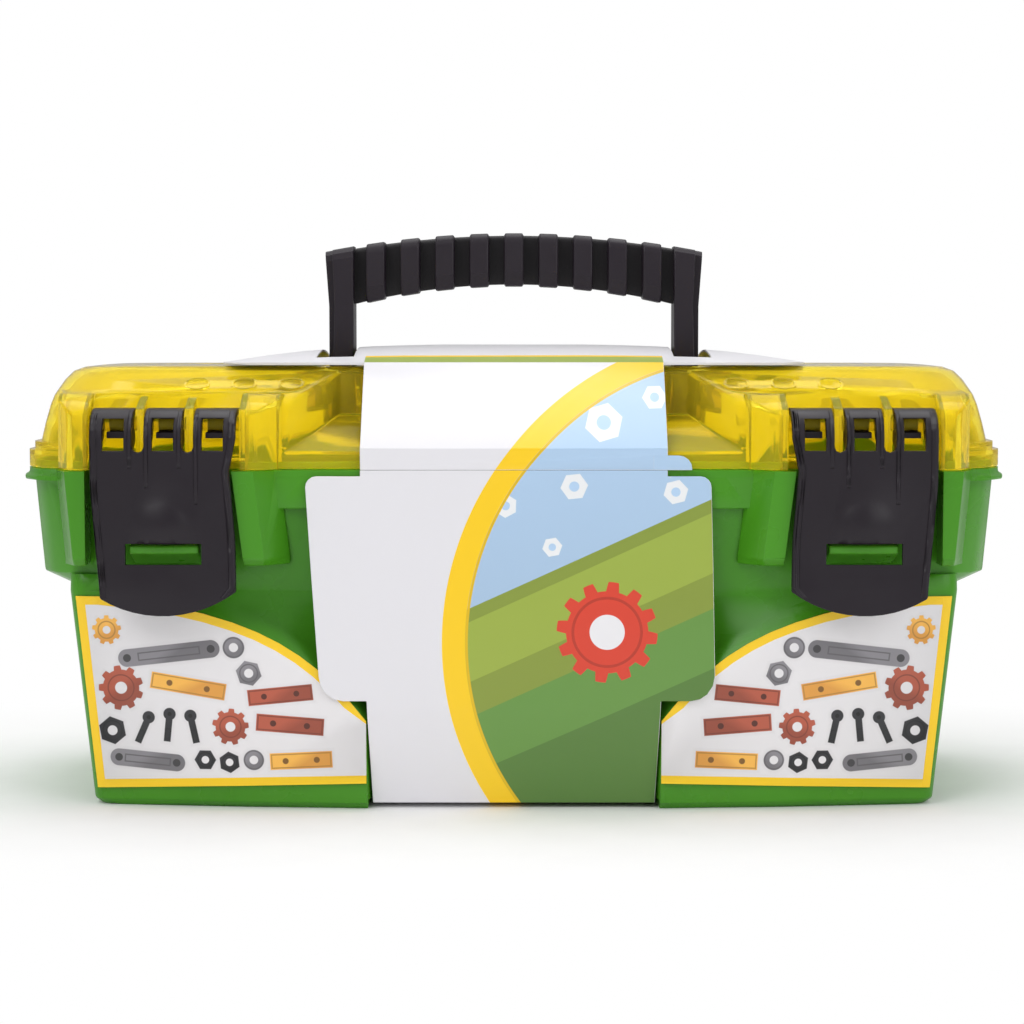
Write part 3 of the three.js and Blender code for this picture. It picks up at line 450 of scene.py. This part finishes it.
def sleeve_print(name, colours, band, blur):
    """The sleeve's design: a white end, a yellow ring band, a pale field of nuts over slanting greens."""
    paint = Paint(name)
    x, _, z = axes(paint)
    colour = paint.over(shade(colours.sky, 1.04), shade(colours.sky, 0.92), (z - 100 * MM).mask(70 * MM))
    for place, height, scale, turn in SLEEVE_NUTS:
        u, v = turned(x - place * MM, z - height * MM, math.radians(turn))
        colour = paint.over(colour, WHITE_INK, hexagon(u, v, scale * MM).mask(blur))
        colour = paint.over(colour, shade(colours.sky, 1.1), disc(u, v, scale * 0.42 * MM).mask(blur))
    slant = x * -0.45 + z
    stripe = 22 * MM
    bands = paint.over(colours.meadow, shade(colours.meadow, 0.74),
                       ((slant * (1 / stripe)).do("PINGPONG", 1) - 0.5).mask(blur / stripe))
    for height, green in ((42, shade(colours.moss, 1.4)), (20, colours.moss)):
        bands = paint.over(bands, green, (slant - height * MM).mask(blur))
    colour = paint.over(colour, bands, (slant - 82 * MM).mask(blur))
    u, v = x - 34 * MM, z - 66 * MM
    colour = paint.over(colour, colours.red, gear(u, v, 19 * MM, 12).mask(blur))
    colour = paint.over(colour, shade(colours.red, 0.7), (disc(u, v, 12.5 * MM).size() - 0.5 * MM).mask(blur))
    colour = paint.over(colour, (0.86, 0.85, 0.88), disc(u, v, 6.4 * MM).mask(blur))
    ring = disc(x - 86 * MM, z - 62 * MM, 108 * MM)
    colour = paint.over(colour, colours.card, (ring * -1).mask(blur))
    colour = paint.over(colour, colours.band, (ring.size() - band / 2).mask(blur))
    line = (ring + band / 2 + 0.5 * MM).size() - 0.5 * MM
    return varnished(paint, paint.over(colour, shade(colours.band, 0.78), line.mask(blur)))


def sleeve_top_print(name, colours, band, blur):
    """The top of the sleeve: pale card wings and a strap with bands across it."""
    paint = Paint(name)
    x, y, _ = axes(paint)
    colour = paint.over(colours.card, colours.meadow, ((y.size() - 36 * MM) * -1).mask(blur))
    colour = paint.over(colour, colours.band, ((y.size() - 35 * MM).size() - band * 0.14).mask(blur))
    colour = paint.over(colour, colours.card, ((x.size() - 56 * MM) * -1).mask(blur))
    return varnished(paint, colour)


# Shells made from the frame's nodes

def merged(node):
    """A bmesh of a node of the frame with its loose triangles joined and its flat faces whole."""
    bm = bmesh.new()
    bm.from_mesh(frame["nodes"][node].data)
    for layer in list(bm.loops.layers.uv.values()):
        bm.loops.layers.uv.remove(layer)
    bmesh.ops.remove_doubles(bm, verts=bm.verts, dist=MERGE)
    bmesh.ops.dissolve_limit(bm, angle_limit=math.radians(0.5), verts=bm.verts, edges=bm.edges)
    return bm


def room_at(vert, edge, along):
    """How far a rounding can reach at a corner: under half of each edge that leads away from it."""
    share = 0.44
    in_line = 0.92
    room = 1
    for other in vert.link_edges:
        if other is not edge and len(other.link_faces) == 2 and other.calc_face_angle(0) > TURN:
            away = other.other_vert(vert).co - vert.co
            if abs(away.normalized().dot(along)) < in_line:
                room = min(room, share * away.length)
    return room


def weigh(bm, largest, width_at):
    """Gives each sharp edge its rounding as a share of the largest, from a function of the edge."""
    layer = bm.edges.layers.float.new("bevel_weight_edge")
    bm.normal_update()
    for edge in bm.edges:
        if len(edge.link_faces) == 2 and edge.calc_face_angle(0) > SHARP:
            start, end = (vert.co for vert in edge.verts)
            along = (end - start).normalized()
            wanted = width_at((start + end) / 2, along, edge.calc_length())
            width = min(wanted, *(room_at(vert, edge, along) for vert in edge.verts))
            edge[layer] = min(1, width / largest)


def folded(mesh):
    """The faces whose triangles don't add up to their area, because an edge crosses the face."""
    mesh.calc_loop_triangles()
    sums = dict.fromkeys(range(len(mesh.polygons)), 0)
    for triangle in mesh.loop_triangles:
        sums[triangle.polygon_index] += triangle.area
    return [face for face in mesh.polygons if sums[face.index] - face.area > FOLD]


def settle(made, tries=12):
    """Draws in the rounding round any face that it would fold over, and after a few tries at its corners too."""
    early = 4
    less = 0.35
    mesh = made.data
    weights = mesh.attributes["bevel_weight_edge"].data
    links = [[] for _ in mesh.vertices]
    for edge in mesh.edges:
        for vert in edge.vertices:
            links[vert].append(edge.index)
    for count in range(tries):
        bpy.context.view_layer.update()
        rounded = made.evaluated_get(bpy.context.evaluated_depsgraph_get()).to_mesh()
        faults = [(face.center.copy(), face.normal.copy()) for face in folded(rounded)]
        if not faults:
            break
        for centre, normal in faults:
            near = [face for face in mesh.polygons if abs(face.normal.dot(normal)) > 0.97
                    and abs((face.center - centre).dot(normal)) < 0.6 * MM]
            near.sort(key=lambda face: (face.center - centre).length)
            for face in near[:2 + count // 2]:
                corners = set(face.vertices)
                for index in {index for vert in corners for index in links[vert]}:
                    if count >= early or corners.issuperset(mesh.edges[index].vertices):
                        weights[index].value *= less
        mesh.update()


def piece(bm, name, materials, rounding=0, segments=3, weighted=False, smooth=40):
    """A finished object from a bmesh, with its edges rounded and its round faces smooth."""
    mesh = bpy.data.meshes.new(name)
    bm.to_mesh(mesh)
    bm.free()
    for material in materials:
        mesh.materials.append(material)
    for face in mesh.polygons:
        face.use_smooth = True
    mesh.set_sharp_from_angle(angle=math.radians(smooth))
    made = bpy.data.objects.new(name, mesh)
    bpy.context.scene.collection.objects.link(made)
    if rounding:
        bevel = made.modifiers.new("Rounded edges", "BEVEL")
        bevel.width = rounding
        bevel.segments = segments
        bevel.limit_method = "WEIGHT" if weighted else "ANGLE"
        bevel.angle_limit = SHARP
        bevel.use_clamp_overlap = False
        bevel.miter_outer = "MITER_ARC"
        if weighted:
            settle(made)
    return made


def stands_for(made, node):
    """The piece moves with the node's body and hides the node."""
    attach(made, BODY_OF[node])
    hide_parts(node)
    return made


class ToolboxPiece(bpy.types.Operator):
    """What all the pieces' operators share."""
    bl_options = {"REGISTER", "UNDO"}

    @classmethod
    def poll(cls, context):
        return hasattr(context.scene, "toolbox")


class TOOLBOX_OT_tub(ToolboxPiece):
    """Model the green tub with rounded edges"""
    bl_idname = "toolbox.tub"
    bl_label = "Tub"

    def execute(self, context):
        colours = settings().colours
        bm = merged("tub")
        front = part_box("tub")[0].y
        edge_width = settings().rounding.tub
        boss_width = settings().rounding.boss
        fine = 0.6 * MM

        def width_at(middle, along, long):
            if long < fine:
                return 0
            on_boss = middle.y < front + 6 * MM and 86 * MM < middle.z < 123 * MM
            if on_boss and abs(along.z) > 0.9 and abs(abs(middle.x) - 126.6 * MM) > 27 * MM:
                return boss_width
            in_scoop = -76 * MM < middle.y < -60 * MM and middle.z < 79 * MM and abs(middle.x) < 125 * MM
            at_corner = abs(middle.x) > 158 * MM and -70 * MM < middle.y < -60 * MM
            under_rim = at_corner and 114 * MM < middle.z < 123 * MM
            if in_scoop or under_rim:
                return 0
            at_waist = abs(middle.z - 80 * MM) < 5 * MM
            return edge_width * (0.3 if at_waist else 1)

        weigh(bm, boss_width, width_at)
        green = moulded("tub_plastic", colours.tub, 0.24, 0.36, 900, 0.00004)
        made = piece(bm, "tub_shell", [green], boss_width, weighted=True)
        stands_for(made, "tub")
        return {"FINISHED"}


class TOOLBOX_OT_lid(ToolboxPiece):
    """Model the clear lid with rounded edges"""
    bl_idname = "toolbox.lid"
    bl_label = "Lid"

    def execute(self, context):
        bm = merged("lid")
        ring_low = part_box("lid")[1].z - 12 * MM
        edge_width = settings().rounding.lid
        fine = 0.5 * MM

        def width_at(middle, along, long):
            across = abs(abs(middle.x) - 99.8 * MM)
            on_ring = middle.z > ring_low and across < 26 * MM and abs(middle.y + 56 * MM) < 8 * MM
            return 0 if on_ring or long < fine else edge_width

        weigh(bm, edge_width, width_at)
        yellow = clear_plastic("lid_plastic", settings().colours.lid)
        made = piece(bm, "lid_shell", [yellow], edge_width, segments=2, weighted=True)
        stands_for(made, "lid")
        return {"FINISHED"}


class TOOLBOX_OT_latches(ToolboxPiece):
    """Model the two snap latches with raised rims round their fronts"""
    bl_idname = "toolbox.latches"
    bl_label = "Latches"

    def execute(self, context):
        rounding = settings().rounding
        black = moulded("latch_plastic", settings().colours.black, 0.34, 0.5, 1400, 0.00005)
        for side in ("left", "right"):
            node = f"latch_{side}"
            bm = merged(node)
            low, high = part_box(node)
            centre = (low.x + high.x) / 2

            def width_at(middle, along, long):
                at_front = middle.y < -83.9 * MM or middle.z > 138 * MM
                near_slot = 90.5 * MM < middle.z < 99.5 * MM and abs(middle.x - centre) < 14.5 * MM
                return rounding.latch if at_front and not near_slot else 0

            weigh(bm, rounding.latch, width_at)
            self.dome(bm, rounding.dome)
            self.rims(bm, centre, rounding)
            made = piece(bm, f"{node}_shell", [black], rounding.latch, weighted=True)
            stands_for(made, node)
        return {"FINISHED"}

    FRONT = ((147.1, 75.4), (146.01, 78.5), (144.35, 80.99), (142.2, 82.89), (139.69, 84.09), (137, 84.5),
             (91, 84.5), (82.9, 85.7), (78.4, 87))
    """Height and forward reach of the strap's front face, in millimetres."""

    def reach_at(self, z):
        """How far the strap's front face stands forward at a height, both in millimetres."""
        for (upper, near), (lower, far) in zip(self.FRONT, self.FRONT[1:]):
            if z >= lower:
                return near + (far - near) * (upper - z) / (upper - lower)
        return self.FRONT[-1][1]

    def rims(self, bm, middle, rounding):
        """Raised rims down both long sides, round the hooks and fading out below their gaps."""
        levels = [146.8, 146.01, 144.35, 142.2, 139.69, 137, 131]
        outline = {z: self.sides_at(bm, z * MM) for z in (*levels, 125, 118, 110, 102, 94, 88, 83, 79.5)}
        wide = rounding.rim_width
        for side, span in enumerate(zip(*outline.values())):
            inward = 1 if side == 0 else -1
            talls = [rounding.rim_depth * (1 if z > 81 else 0.2) for z in outline]
            drawn(bm, [self.bead(x, inward * wide, z, tall) for x, z, tall in zip(span, outline, talls)])
        for place, inward, foot in ((11.15, 1, 126), (6.75, -1, 119), (-6.75, 1, 126), (-11.15, -1, 113)):
            rings = []
            for z in (*levels, foot + 5, foot + 2, foot):
                tall = min(1, (z - foot) / 9) + 0.04
                rings.append(self.bead(middle - place * MM, -inward * wide * 0.6, z, rounding.rim_depth * tall))
            drawn(bm, rings)

    def sides_at(self, bm, z):
        """The strap's two side edges at a height."""
        crossings = []
        for edge in bm.edges:
            one, two = (vert.co for vert in edge.verts)
            if (one.z - z) * (two.z - z) <= 0 and max(one.y, two.y) < -70 * MM and abs(one.z - two.z) > 1e-6:
                crossings.append(one.x + (two.x - one.x) * (z - one.z) / (two.z - one.z))
        return min(crossings), max(crossings)

    def bead(self, x, width, z, tall):
        """The section of a rim: a half ellipse on the strap's front, closed behind it."""
        y = -self.reach_at(z) * MM
        steps = 6
        arc = [(x + width / 2 * (1 - math.cos(math.pi * step / steps)), y - tall * math.sin(math.pi * step / steps))
               for step in range(steps + 1)]
        back = y + 0.3 * MM
        return [(px, py, z * MM) for px, py in (*arc, (x + width, back), (x, back))]

    def dome(self, bm, tall):
        """Swells the shallow dome above the slot to its full height."""
        front = -84.5 * MM
        raised = [vert for vert in bm.verts if vert.co.y < front - 0.02 * MM and 98 * MM < vert.co.z < 120 * MM]
        peak = min(vert.co.y for vert in raised) - front
        for vert in raised:
            vert.co.y = front + (vert.co.y - front) * tall / -peak


def drawn(bm, rings):
    """A closed form drawn out from ring to ring, all with the same number of points."""
    verts = bmesh.ops.create_circle(bm, cap_ends=True, segments=len(rings[0]), radius=1)["verts"]
    for vert, place in zip(verts, rings[0]):
        vert.co = place
    cap = list(verts[0].link_faces)
    for ring in rings[1:]:
        region = bmesh.ops.extrude_face_region(bm, geom=cap)["geom"]
        cap = [item for item in region if isinstance(item, bmesh.types.BMFace)]
        fresh = {item.co.to_tuple(6): item for item in region if isinstance(item, bmesh.types.BMVert)}
        verts = [fresh[vert.co.to_tuple(6)] for vert in verts]
        for vert, place in zip(verts, ring):
            vert.co = place


def bend(cy, cz, radius, start, steps):
    """Points of a quarter round, turning towards the start plus a quarter."""
    return [
        (cy + radius * math.cos(start + math.pi / 2 * step / steps),
         cz + radius * math.sin(start + math.pi / 2 * step / steps))
        for step in range(steps + 1)
    ]


class TOOLBOX_OT_handle(ToolboxPiece):
    """Model the carrying handle: a crowned grip with ribs, two legs and two studs"""
    bl_idname = "toolbox.handle"
    bl_label = "Handle"

    def execute(self, context):
        grip = settings().grip
        edge = settings().rounding.handle
        low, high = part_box("handle")
        self.half = high.x - grip.stud
        self.inner = self.half - grip.leg
        self.middle = (low.y + high.y) / 2
        self.radius = grip.depth / 2
        self.pivot = low.z + self.radius
        self.top = high.z - 0.4 * MM
        bm = bmesh.new()
        drawn(bm, self.grip_rings(grip))
        for side in SIDES:
            drawn(bm, self.leg_rings(grip, side))
            stud = Matrix.Translation((side * (self.half + grip.stud / 2 - MM / 2), self.middle, self.pivot))
            bmesh.ops.create_cone(bm, cap_ends=True, segments=48, radius1=grip.stud_radius, radius2=grip.stud_radius,
                                  depth=grip.stud + MM, matrix=stud @ Matrix.Rotation(math.pi / 2, 4, "Y"))
        bmesh.ops.recalc_face_normals(bm, faces=bm.faces)
        black = moulded("handle_plastic", shade(settings().colours.black, 1.25), 0.36, 0.52, 1200, 0.00006)
        # Painted shade: the core that shows in the grooves takes the handle's black at 45 %, standing in for the
        # shade that falls deep in the grooves.
        core = moulded("handle_core", shade(settings().colours.black, 0.45), 0.4, 0.55, 1200, 0.00006)
        # The faces sunk in the grooves between the legs take that painted shade.
        for face in bm.faces:
            sunk = all(abs(vert.co.y - self.middle) < self.radius - grip.groove + 0.1 * MM for vert in face.verts)
            face.material_index = 1 if sunk and abs(face.calc_center_median().x) < self.inner else 0
        weigh(bm, edge, lambda middle, along, long: 0 if abs(middle.x) < self.inner - MM / 2 else edge)
        made = piece(bm, "handle_moulding", [black, core], edge, weighted=True, smooth=32)
        stands_for(made, "handle")
        return {"FINISHED"}

    def top_at(self, x):
        return self.top - settings().grip.crown * (x / self.half) ** 2

    def under_at(self, x):
        grip = settings().grip
        return self.top - grip.grip - grip.under * (x / self.inner) ** 2

    def grip_ring(self, x, sunk, tuck=0):
        """The section of a rib, drawn in by the tuck, or of the core that shows in a groove."""
        grip = settings().grip
        reach = self.radius - (grip.groove if sunk else tuck)
        top = self.top_at(x) - (grip.notch if sunk else tuck)
        under = self.under_at(x) + (grip.notch if sunk else tuck)
        r = grip.top_radius * (0.5 if sunk else 1)
        f = grip.foot_radius * (0.5 if sunk else 1)
        knee = under + (top - under) * 0.27
        foot = reach - (0 if sunk else grip.slope)
        profile = [
            (reach, knee), *bend(reach - r, top - r, r, 0, 5), *bend(r - reach, top - r, r, math.pi / 2, 5),
            (-reach, knee), *bend(f - foot, under + f, f, math.pi, 3), *bend(foot - f, under + f, f, -math.pi / 2, 3),
        ]
        return [(x, self.middle + y, z) for y, z in profile]

    def grip_rings(self, grip):
        """The grip from leg to leg: its ribs, the core in the grooves between them and an end sunk in each leg."""
        centre = self.half - grip.leg / 2
        pitch = 2 * centre / (grip.ribs + 1)
        groove = (pitch - grip.rib) / 2
        edge = settings().rounding.handle
        rib_side = [(groove + edge * out, False, edge * tuck) for out, tuck in ((0, 1), (0.3, 0.3), (1, 0))]
        core_side = [(groove - grip.draft, True, 0)]
        sunk_end = [(groove + MM, True, 0)]
        rings = []
        for index in range(grip.ribs + 1):
            x = pitch * (index + 0.5) - centre
            left = sunk_end if index == 0 else [*reversed(rib_side), *core_side]
            right = sunk_end if index == grip.ribs else [*core_side, *rib_side]
            rings += [self.grip_ring(x - out, sunk, tuck) for out, sunk, tuck in left]
            rings += [self.grip_ring(x + out, sunk, tuck) for out, sunk, tuck in right]
        return rings

    def leg_rings(self, grip, side):
        """A leg from its top corner down to its round foot, with a sunken strip along its outside."""
        corner = self.top_at(self.half)
        knee = self.under_at(self.inner)
        round_top = ((0, 0.9), (0.15, 0.42), (0.45, 0.12), (1, 0))
        levels = [(corner - grip.top_radius * drop, grip.top_radius * tuck, 1) for drop, tuck in round_top]
        levels += [(knee, 0, 1), (self.pivot, 0, 1)]
        steps = 12
        for step in range(1, steps + 1):
            turn = math.pi / 2 * step / (steps + 0.4)
            levels.append((self.pivot - self.radius * math.sin(turn), 0, math.cos(turn)))
        rings = []
        for z, tuck, share in levels:
            up = min(1, max(0, (z - knee) / (corner - knee)))
            down = min(1, max(0, (corner - z) / (corner - self.pivot)))
            outer = self.half + grip.flare * up
            plate = outer - (grip.strip + (grip.strip_low - grip.strip) * down)
            face = (self.radius - tuck) * share
            back = (self.radius - grip.strip_depth - tuck) * share
            plan = [(outer, -back), (plate, -back), (plate, -face), (self.inner, -face),
                    (self.inner, face), (plate, face), (plate, back), (outer, back)]
            rings.append([
                (side * x, self.middle + y, z + (self.top_at(x) - corner) * up) for x, y in plan
            ])
        return rings


class TOOLBOX_OT_pins(ToolboxPiece):
    """Model the two steel pins of the rear hinges"""
    bl_idname = "toolbox.pins"
    bl_label = "Hinge pins"

    def execute(self, context):
        steel = brushed_steel("pin_steel")
        for side in ("left", "right"):
            node = f"hinge_pin_{side}"
            made = piece(merged(node), f"{node}_wire", [steel], 0.3 * MM)
            stands_for(made, node)
        return {"FINISHED"}


class TOOLBOX_OT_labels(ToolboxPiece):
    """Model the two printed labels with their yellow borders"""
    bl_idname = "toolbox.labels"
    bl_label = "Labels"

    def execute(self, context):
        values = settings()
        border = Paint("label_border")
        yellow = varnished(border, values.colours.band)
        for side, name in zip(SIDES, ("left", "right")):
            node = f"label_{name}"
            low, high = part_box(node)
            middle = side * (low.x + high.x) / 2
            bm = merged(node)
            front = [face for face in bm.faces if face.normal.y < -0.985]
            fold = self.outer_fold(front, side)
            width = values.printing.border
            bmesh.ops.inset_region(bm, faces=front, thickness=width, use_even_offset=True)
            field = set(front)
            inner = min(abs(low.x), abs(high.x))
            for vert in {vert for face in front for vert in face.verts}:
                if abs(vert.co.x) < inner + width * 1.2:
                    vert.co.x = side * (inner + 0.02 * MM)
                edge_x = fold(vert.co.z)
                if abs(vert.co.x) > edge_x - width * 1.2:
                    vert.co.x = side * (edge_x - 0.02 * MM)
            for face in bm.faces:
                face.material_index = 1 if face in field else 0
            white = label_print(f"{node}_print", values.colours, side, middle, values.printing.blur)
            made = piece(bm, f"{node}_film", [yellow, white])
            stands_for(made, node)
        return {"FINISHED"}

    def outer_fold(self, front, side):
        """The line where the label's flat front turns round the tub's corner, as a function of height."""
        verts = {vert for face in front for vert in face.verts}
        foot = min(verts, key=lambda vert: vert.co.z * 2 - abs(vert.co.x))
        head = max(verts, key=lambda vert: vert.co.z + abs(vert.co.x))
        rise = (abs(head.co.x) - abs(foot.co.x)) / (head.co.z - foot.co.z)
        start, level = abs(foot.co.x), foot.co.z
        return lambda z: start + rise * (z - level)


class TOOLBOX_OT_sleeve(ToolboxPiece):
    """Model the printed card sleeve in its two parts"""
    bl_idname = "toolbox.sleeve"
    bl_label = "Card sleeve"

    def execute(self, context):
        values = settings()
        heart = Vector((0, 0, 80 * MM))
        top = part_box("lid")[1].z
        sheet = values.rounding.sheet
        closed = 0.3 * MM
        inks = [
            bare_card("card_core", values.colours.card),
            sleeve_print("sleeve_front_print", values.colours, values.printing.band, values.printing.blur),
            sleeve_top_print("sleeve_top_print", values.colours, values.printing.band, values.printing.blur),
        ]
        for node in ("sleeve_upper", "sleeve_lower"):
            bm = merged(node)
            if node == "sleeve_upper":
                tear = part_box(node)[0].z
                for vert in bm.verts:
                    if vert.co.z < tear + 0.05 * MM:
                        vert.co.z -= closed
            for face in bm.faces:
                centre = face.calc_center_median()
                outward = centre - heart
                outward.x = 0
                printed = face.normal.dot(outward.normalized()) > 0.3
                face.material_index = 0 if not printed else 2 if centre.z > top else 1
            weigh(bm, sheet, lambda middle, along, long: sheet)
            made = piece(bm, f"{node}_card", inks, sheet, segments=1, weighted=True)
            stands_for(made, node)
        return {"FINISHED"}


class TOOLBOX_OT_stage(ToolboxPiece):
    """Set the floor, the soft lamps, the world and the camera"""
    bl_idname = "toolbox.stage"
    bl_label = "Stage"

    def execute(self, context):
        stage = settings().stage
        scene = context.scene
        bm = bmesh.new()
        bmesh.ops.create_grid(bm, x_segments=1, y_segments=1, size=stage.floor)
        floor = piece(bm, "floor", [self.paper()])
        self.world(scene, stage.world)
        self.lamp("key", (-0.75, -1.0, 1.15), 0.9, 7.2)
        self.lamp("fill", (0.95, -0.95, 0.7), 0.9, 4)
        self.lamp("top", (0, 0.25, 1.2), 1.1, 8)
        camera = bpy.data.cameras.new("camera")
        camera.lens = stage.lens
        camera.sensor_width = 36
        camera.clip_end = 20
        eye = bpy.data.objects.new("camera", camera)
        eye.location = (0, -stage.distance, stage.height)
        eye.rotation_euler = (math.pi / 2 - stage.tilt, 0, stage.turn)
        scene.collection.objects.link(eye)
        scene.camera = eye
        scene.view_settings.view_transform = "Standard"
        return {"FINISHED"}

    def paper(self):
        """Pale floor that keeps the shadow near the box and fades to the white backdrop."""
        paint = Paint("floor_paper")
        x, y, _ = axes(paint)
        near = length(x * 0.9, y * 1.7)
        start = 0.16
        reach = 0.22
        grain = paint.noise(40)
        paint.finish(paint.over((0.9, 0.9, 0.9), (0.93, 0.93, 0.93), paint.between(grain, 0, 1)), 0.8)
        glow = paint.tree.nodes.new("ShaderNodeEmission")
        glow.inputs["Strength"].default_value = 1
        ray = Field(paint.tree, paint.tree.nodes.new("ShaderNodeLightPath").outputs["Is Camera Ray"])
        far = (near - start).do("MULTIPLY", 1 / reach, clamp=True)
        mix = paint.tree.nodes.new("ShaderNodeMixShader")
        paint.link((far * ray).socket, mix.inputs[0])
        paint.link(paint.shader.outputs[0], mix.inputs[1])
        paint.link(glow.outputs[0], mix.inputs[2])
        paint.link(mix.outputs[0], paint.tree.nodes["Material Output"].inputs["Surface"])
        return paint.material

    def world(self, scene, level):
        """White for the camera and for what it sees through the lid, and a plain level of light all round."""
        world = bpy.data.worlds.new("studio")
        world.use_nodes = True
        tree = world.node_tree
        path = tree.nodes.new("ShaderNodeLightPath")
        through = Field(tree, path.outputs["Is Transmission Ray"])
        seen = Field(tree, path.outputs["Is Camera Ray"]).most(through)
        strength = seen * (1 - level) + level
        tree.links.new(strength.socket, tree.nodes["Background"].inputs["Strength"])
        tree.nodes["Background"].inputs["Color"].default_value = (1, 1, 1, 1)
        scene.world = world

    def lamp(self, name, place, width, watts):
        """A square soft lamp that points at the middle of the box."""
        light = bpy.data.lights.new(name, "AREA")
        light.size = width
        light.energy = watts
        made = bpy.data.objects.new(name, light)
        made.location = place
        aim = Vector((0, 0, 0.1)) - Vector(place)
        made.rotation_euler = aim.to_track_quat("-Z", "Y").to_euler()
        bpy.context.scene.collection.objects.link(made)


PIECES = (
    TOOLBOX_OT_stage, TOOLBOX_OT_tub, TOOLBOX_OT_lid, TOOLBOX_OT_handle, TOOLBOX_OT_latches,
    TOOLBOX_OT_pins, TOOLBOX_OT_labels, TOOLBOX_OT_sleeve,
)


class TOOLBOX_PT_panel(bpy.types.Panel):
    """The tool box's pieces and values in the sidebar"""
    bl_label = "Toy tool box"
    bl_idname = "TOOLBOX_PT_panel"
    bl_space_type = "VIEW_3D"
    bl_region_type = "UI"
    bl_category = "Tool box"

    def draw(self, context):
        for operator in PIECES:
            self.layout.operator(operator.bl_idname)
        for name, group in GROUPS.items():
            box = self.layout.box()
            box.label(text=name.capitalize())
            values = getattr(context.scene.toolbox, name)
            for key in group.__annotations__:
                box.prop(values, key)


CLASSES = (*GROUPS.values(), ToolboxSettings, *PIECES, TOOLBOX_PT_panel)


def register():
    for cls in CLASSES:
        bpy.utils.register_class(cls)
    bpy.types.Scene.toolbox = bpy.props.PointerProperty(type=ToolboxSettings)


def unregister():
    del bpy.types.Scene.toolbox
    for cls in reversed(CLASSES):
        bpy.utils.unregister_class(cls)


def main():
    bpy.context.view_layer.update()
    register()
    for operator in PIECES:
        group, name = operator.bl_idname.split(".")
        getattr(getattr(bpy.ops, group), name)()


if __name__ == "__main__":
    main()
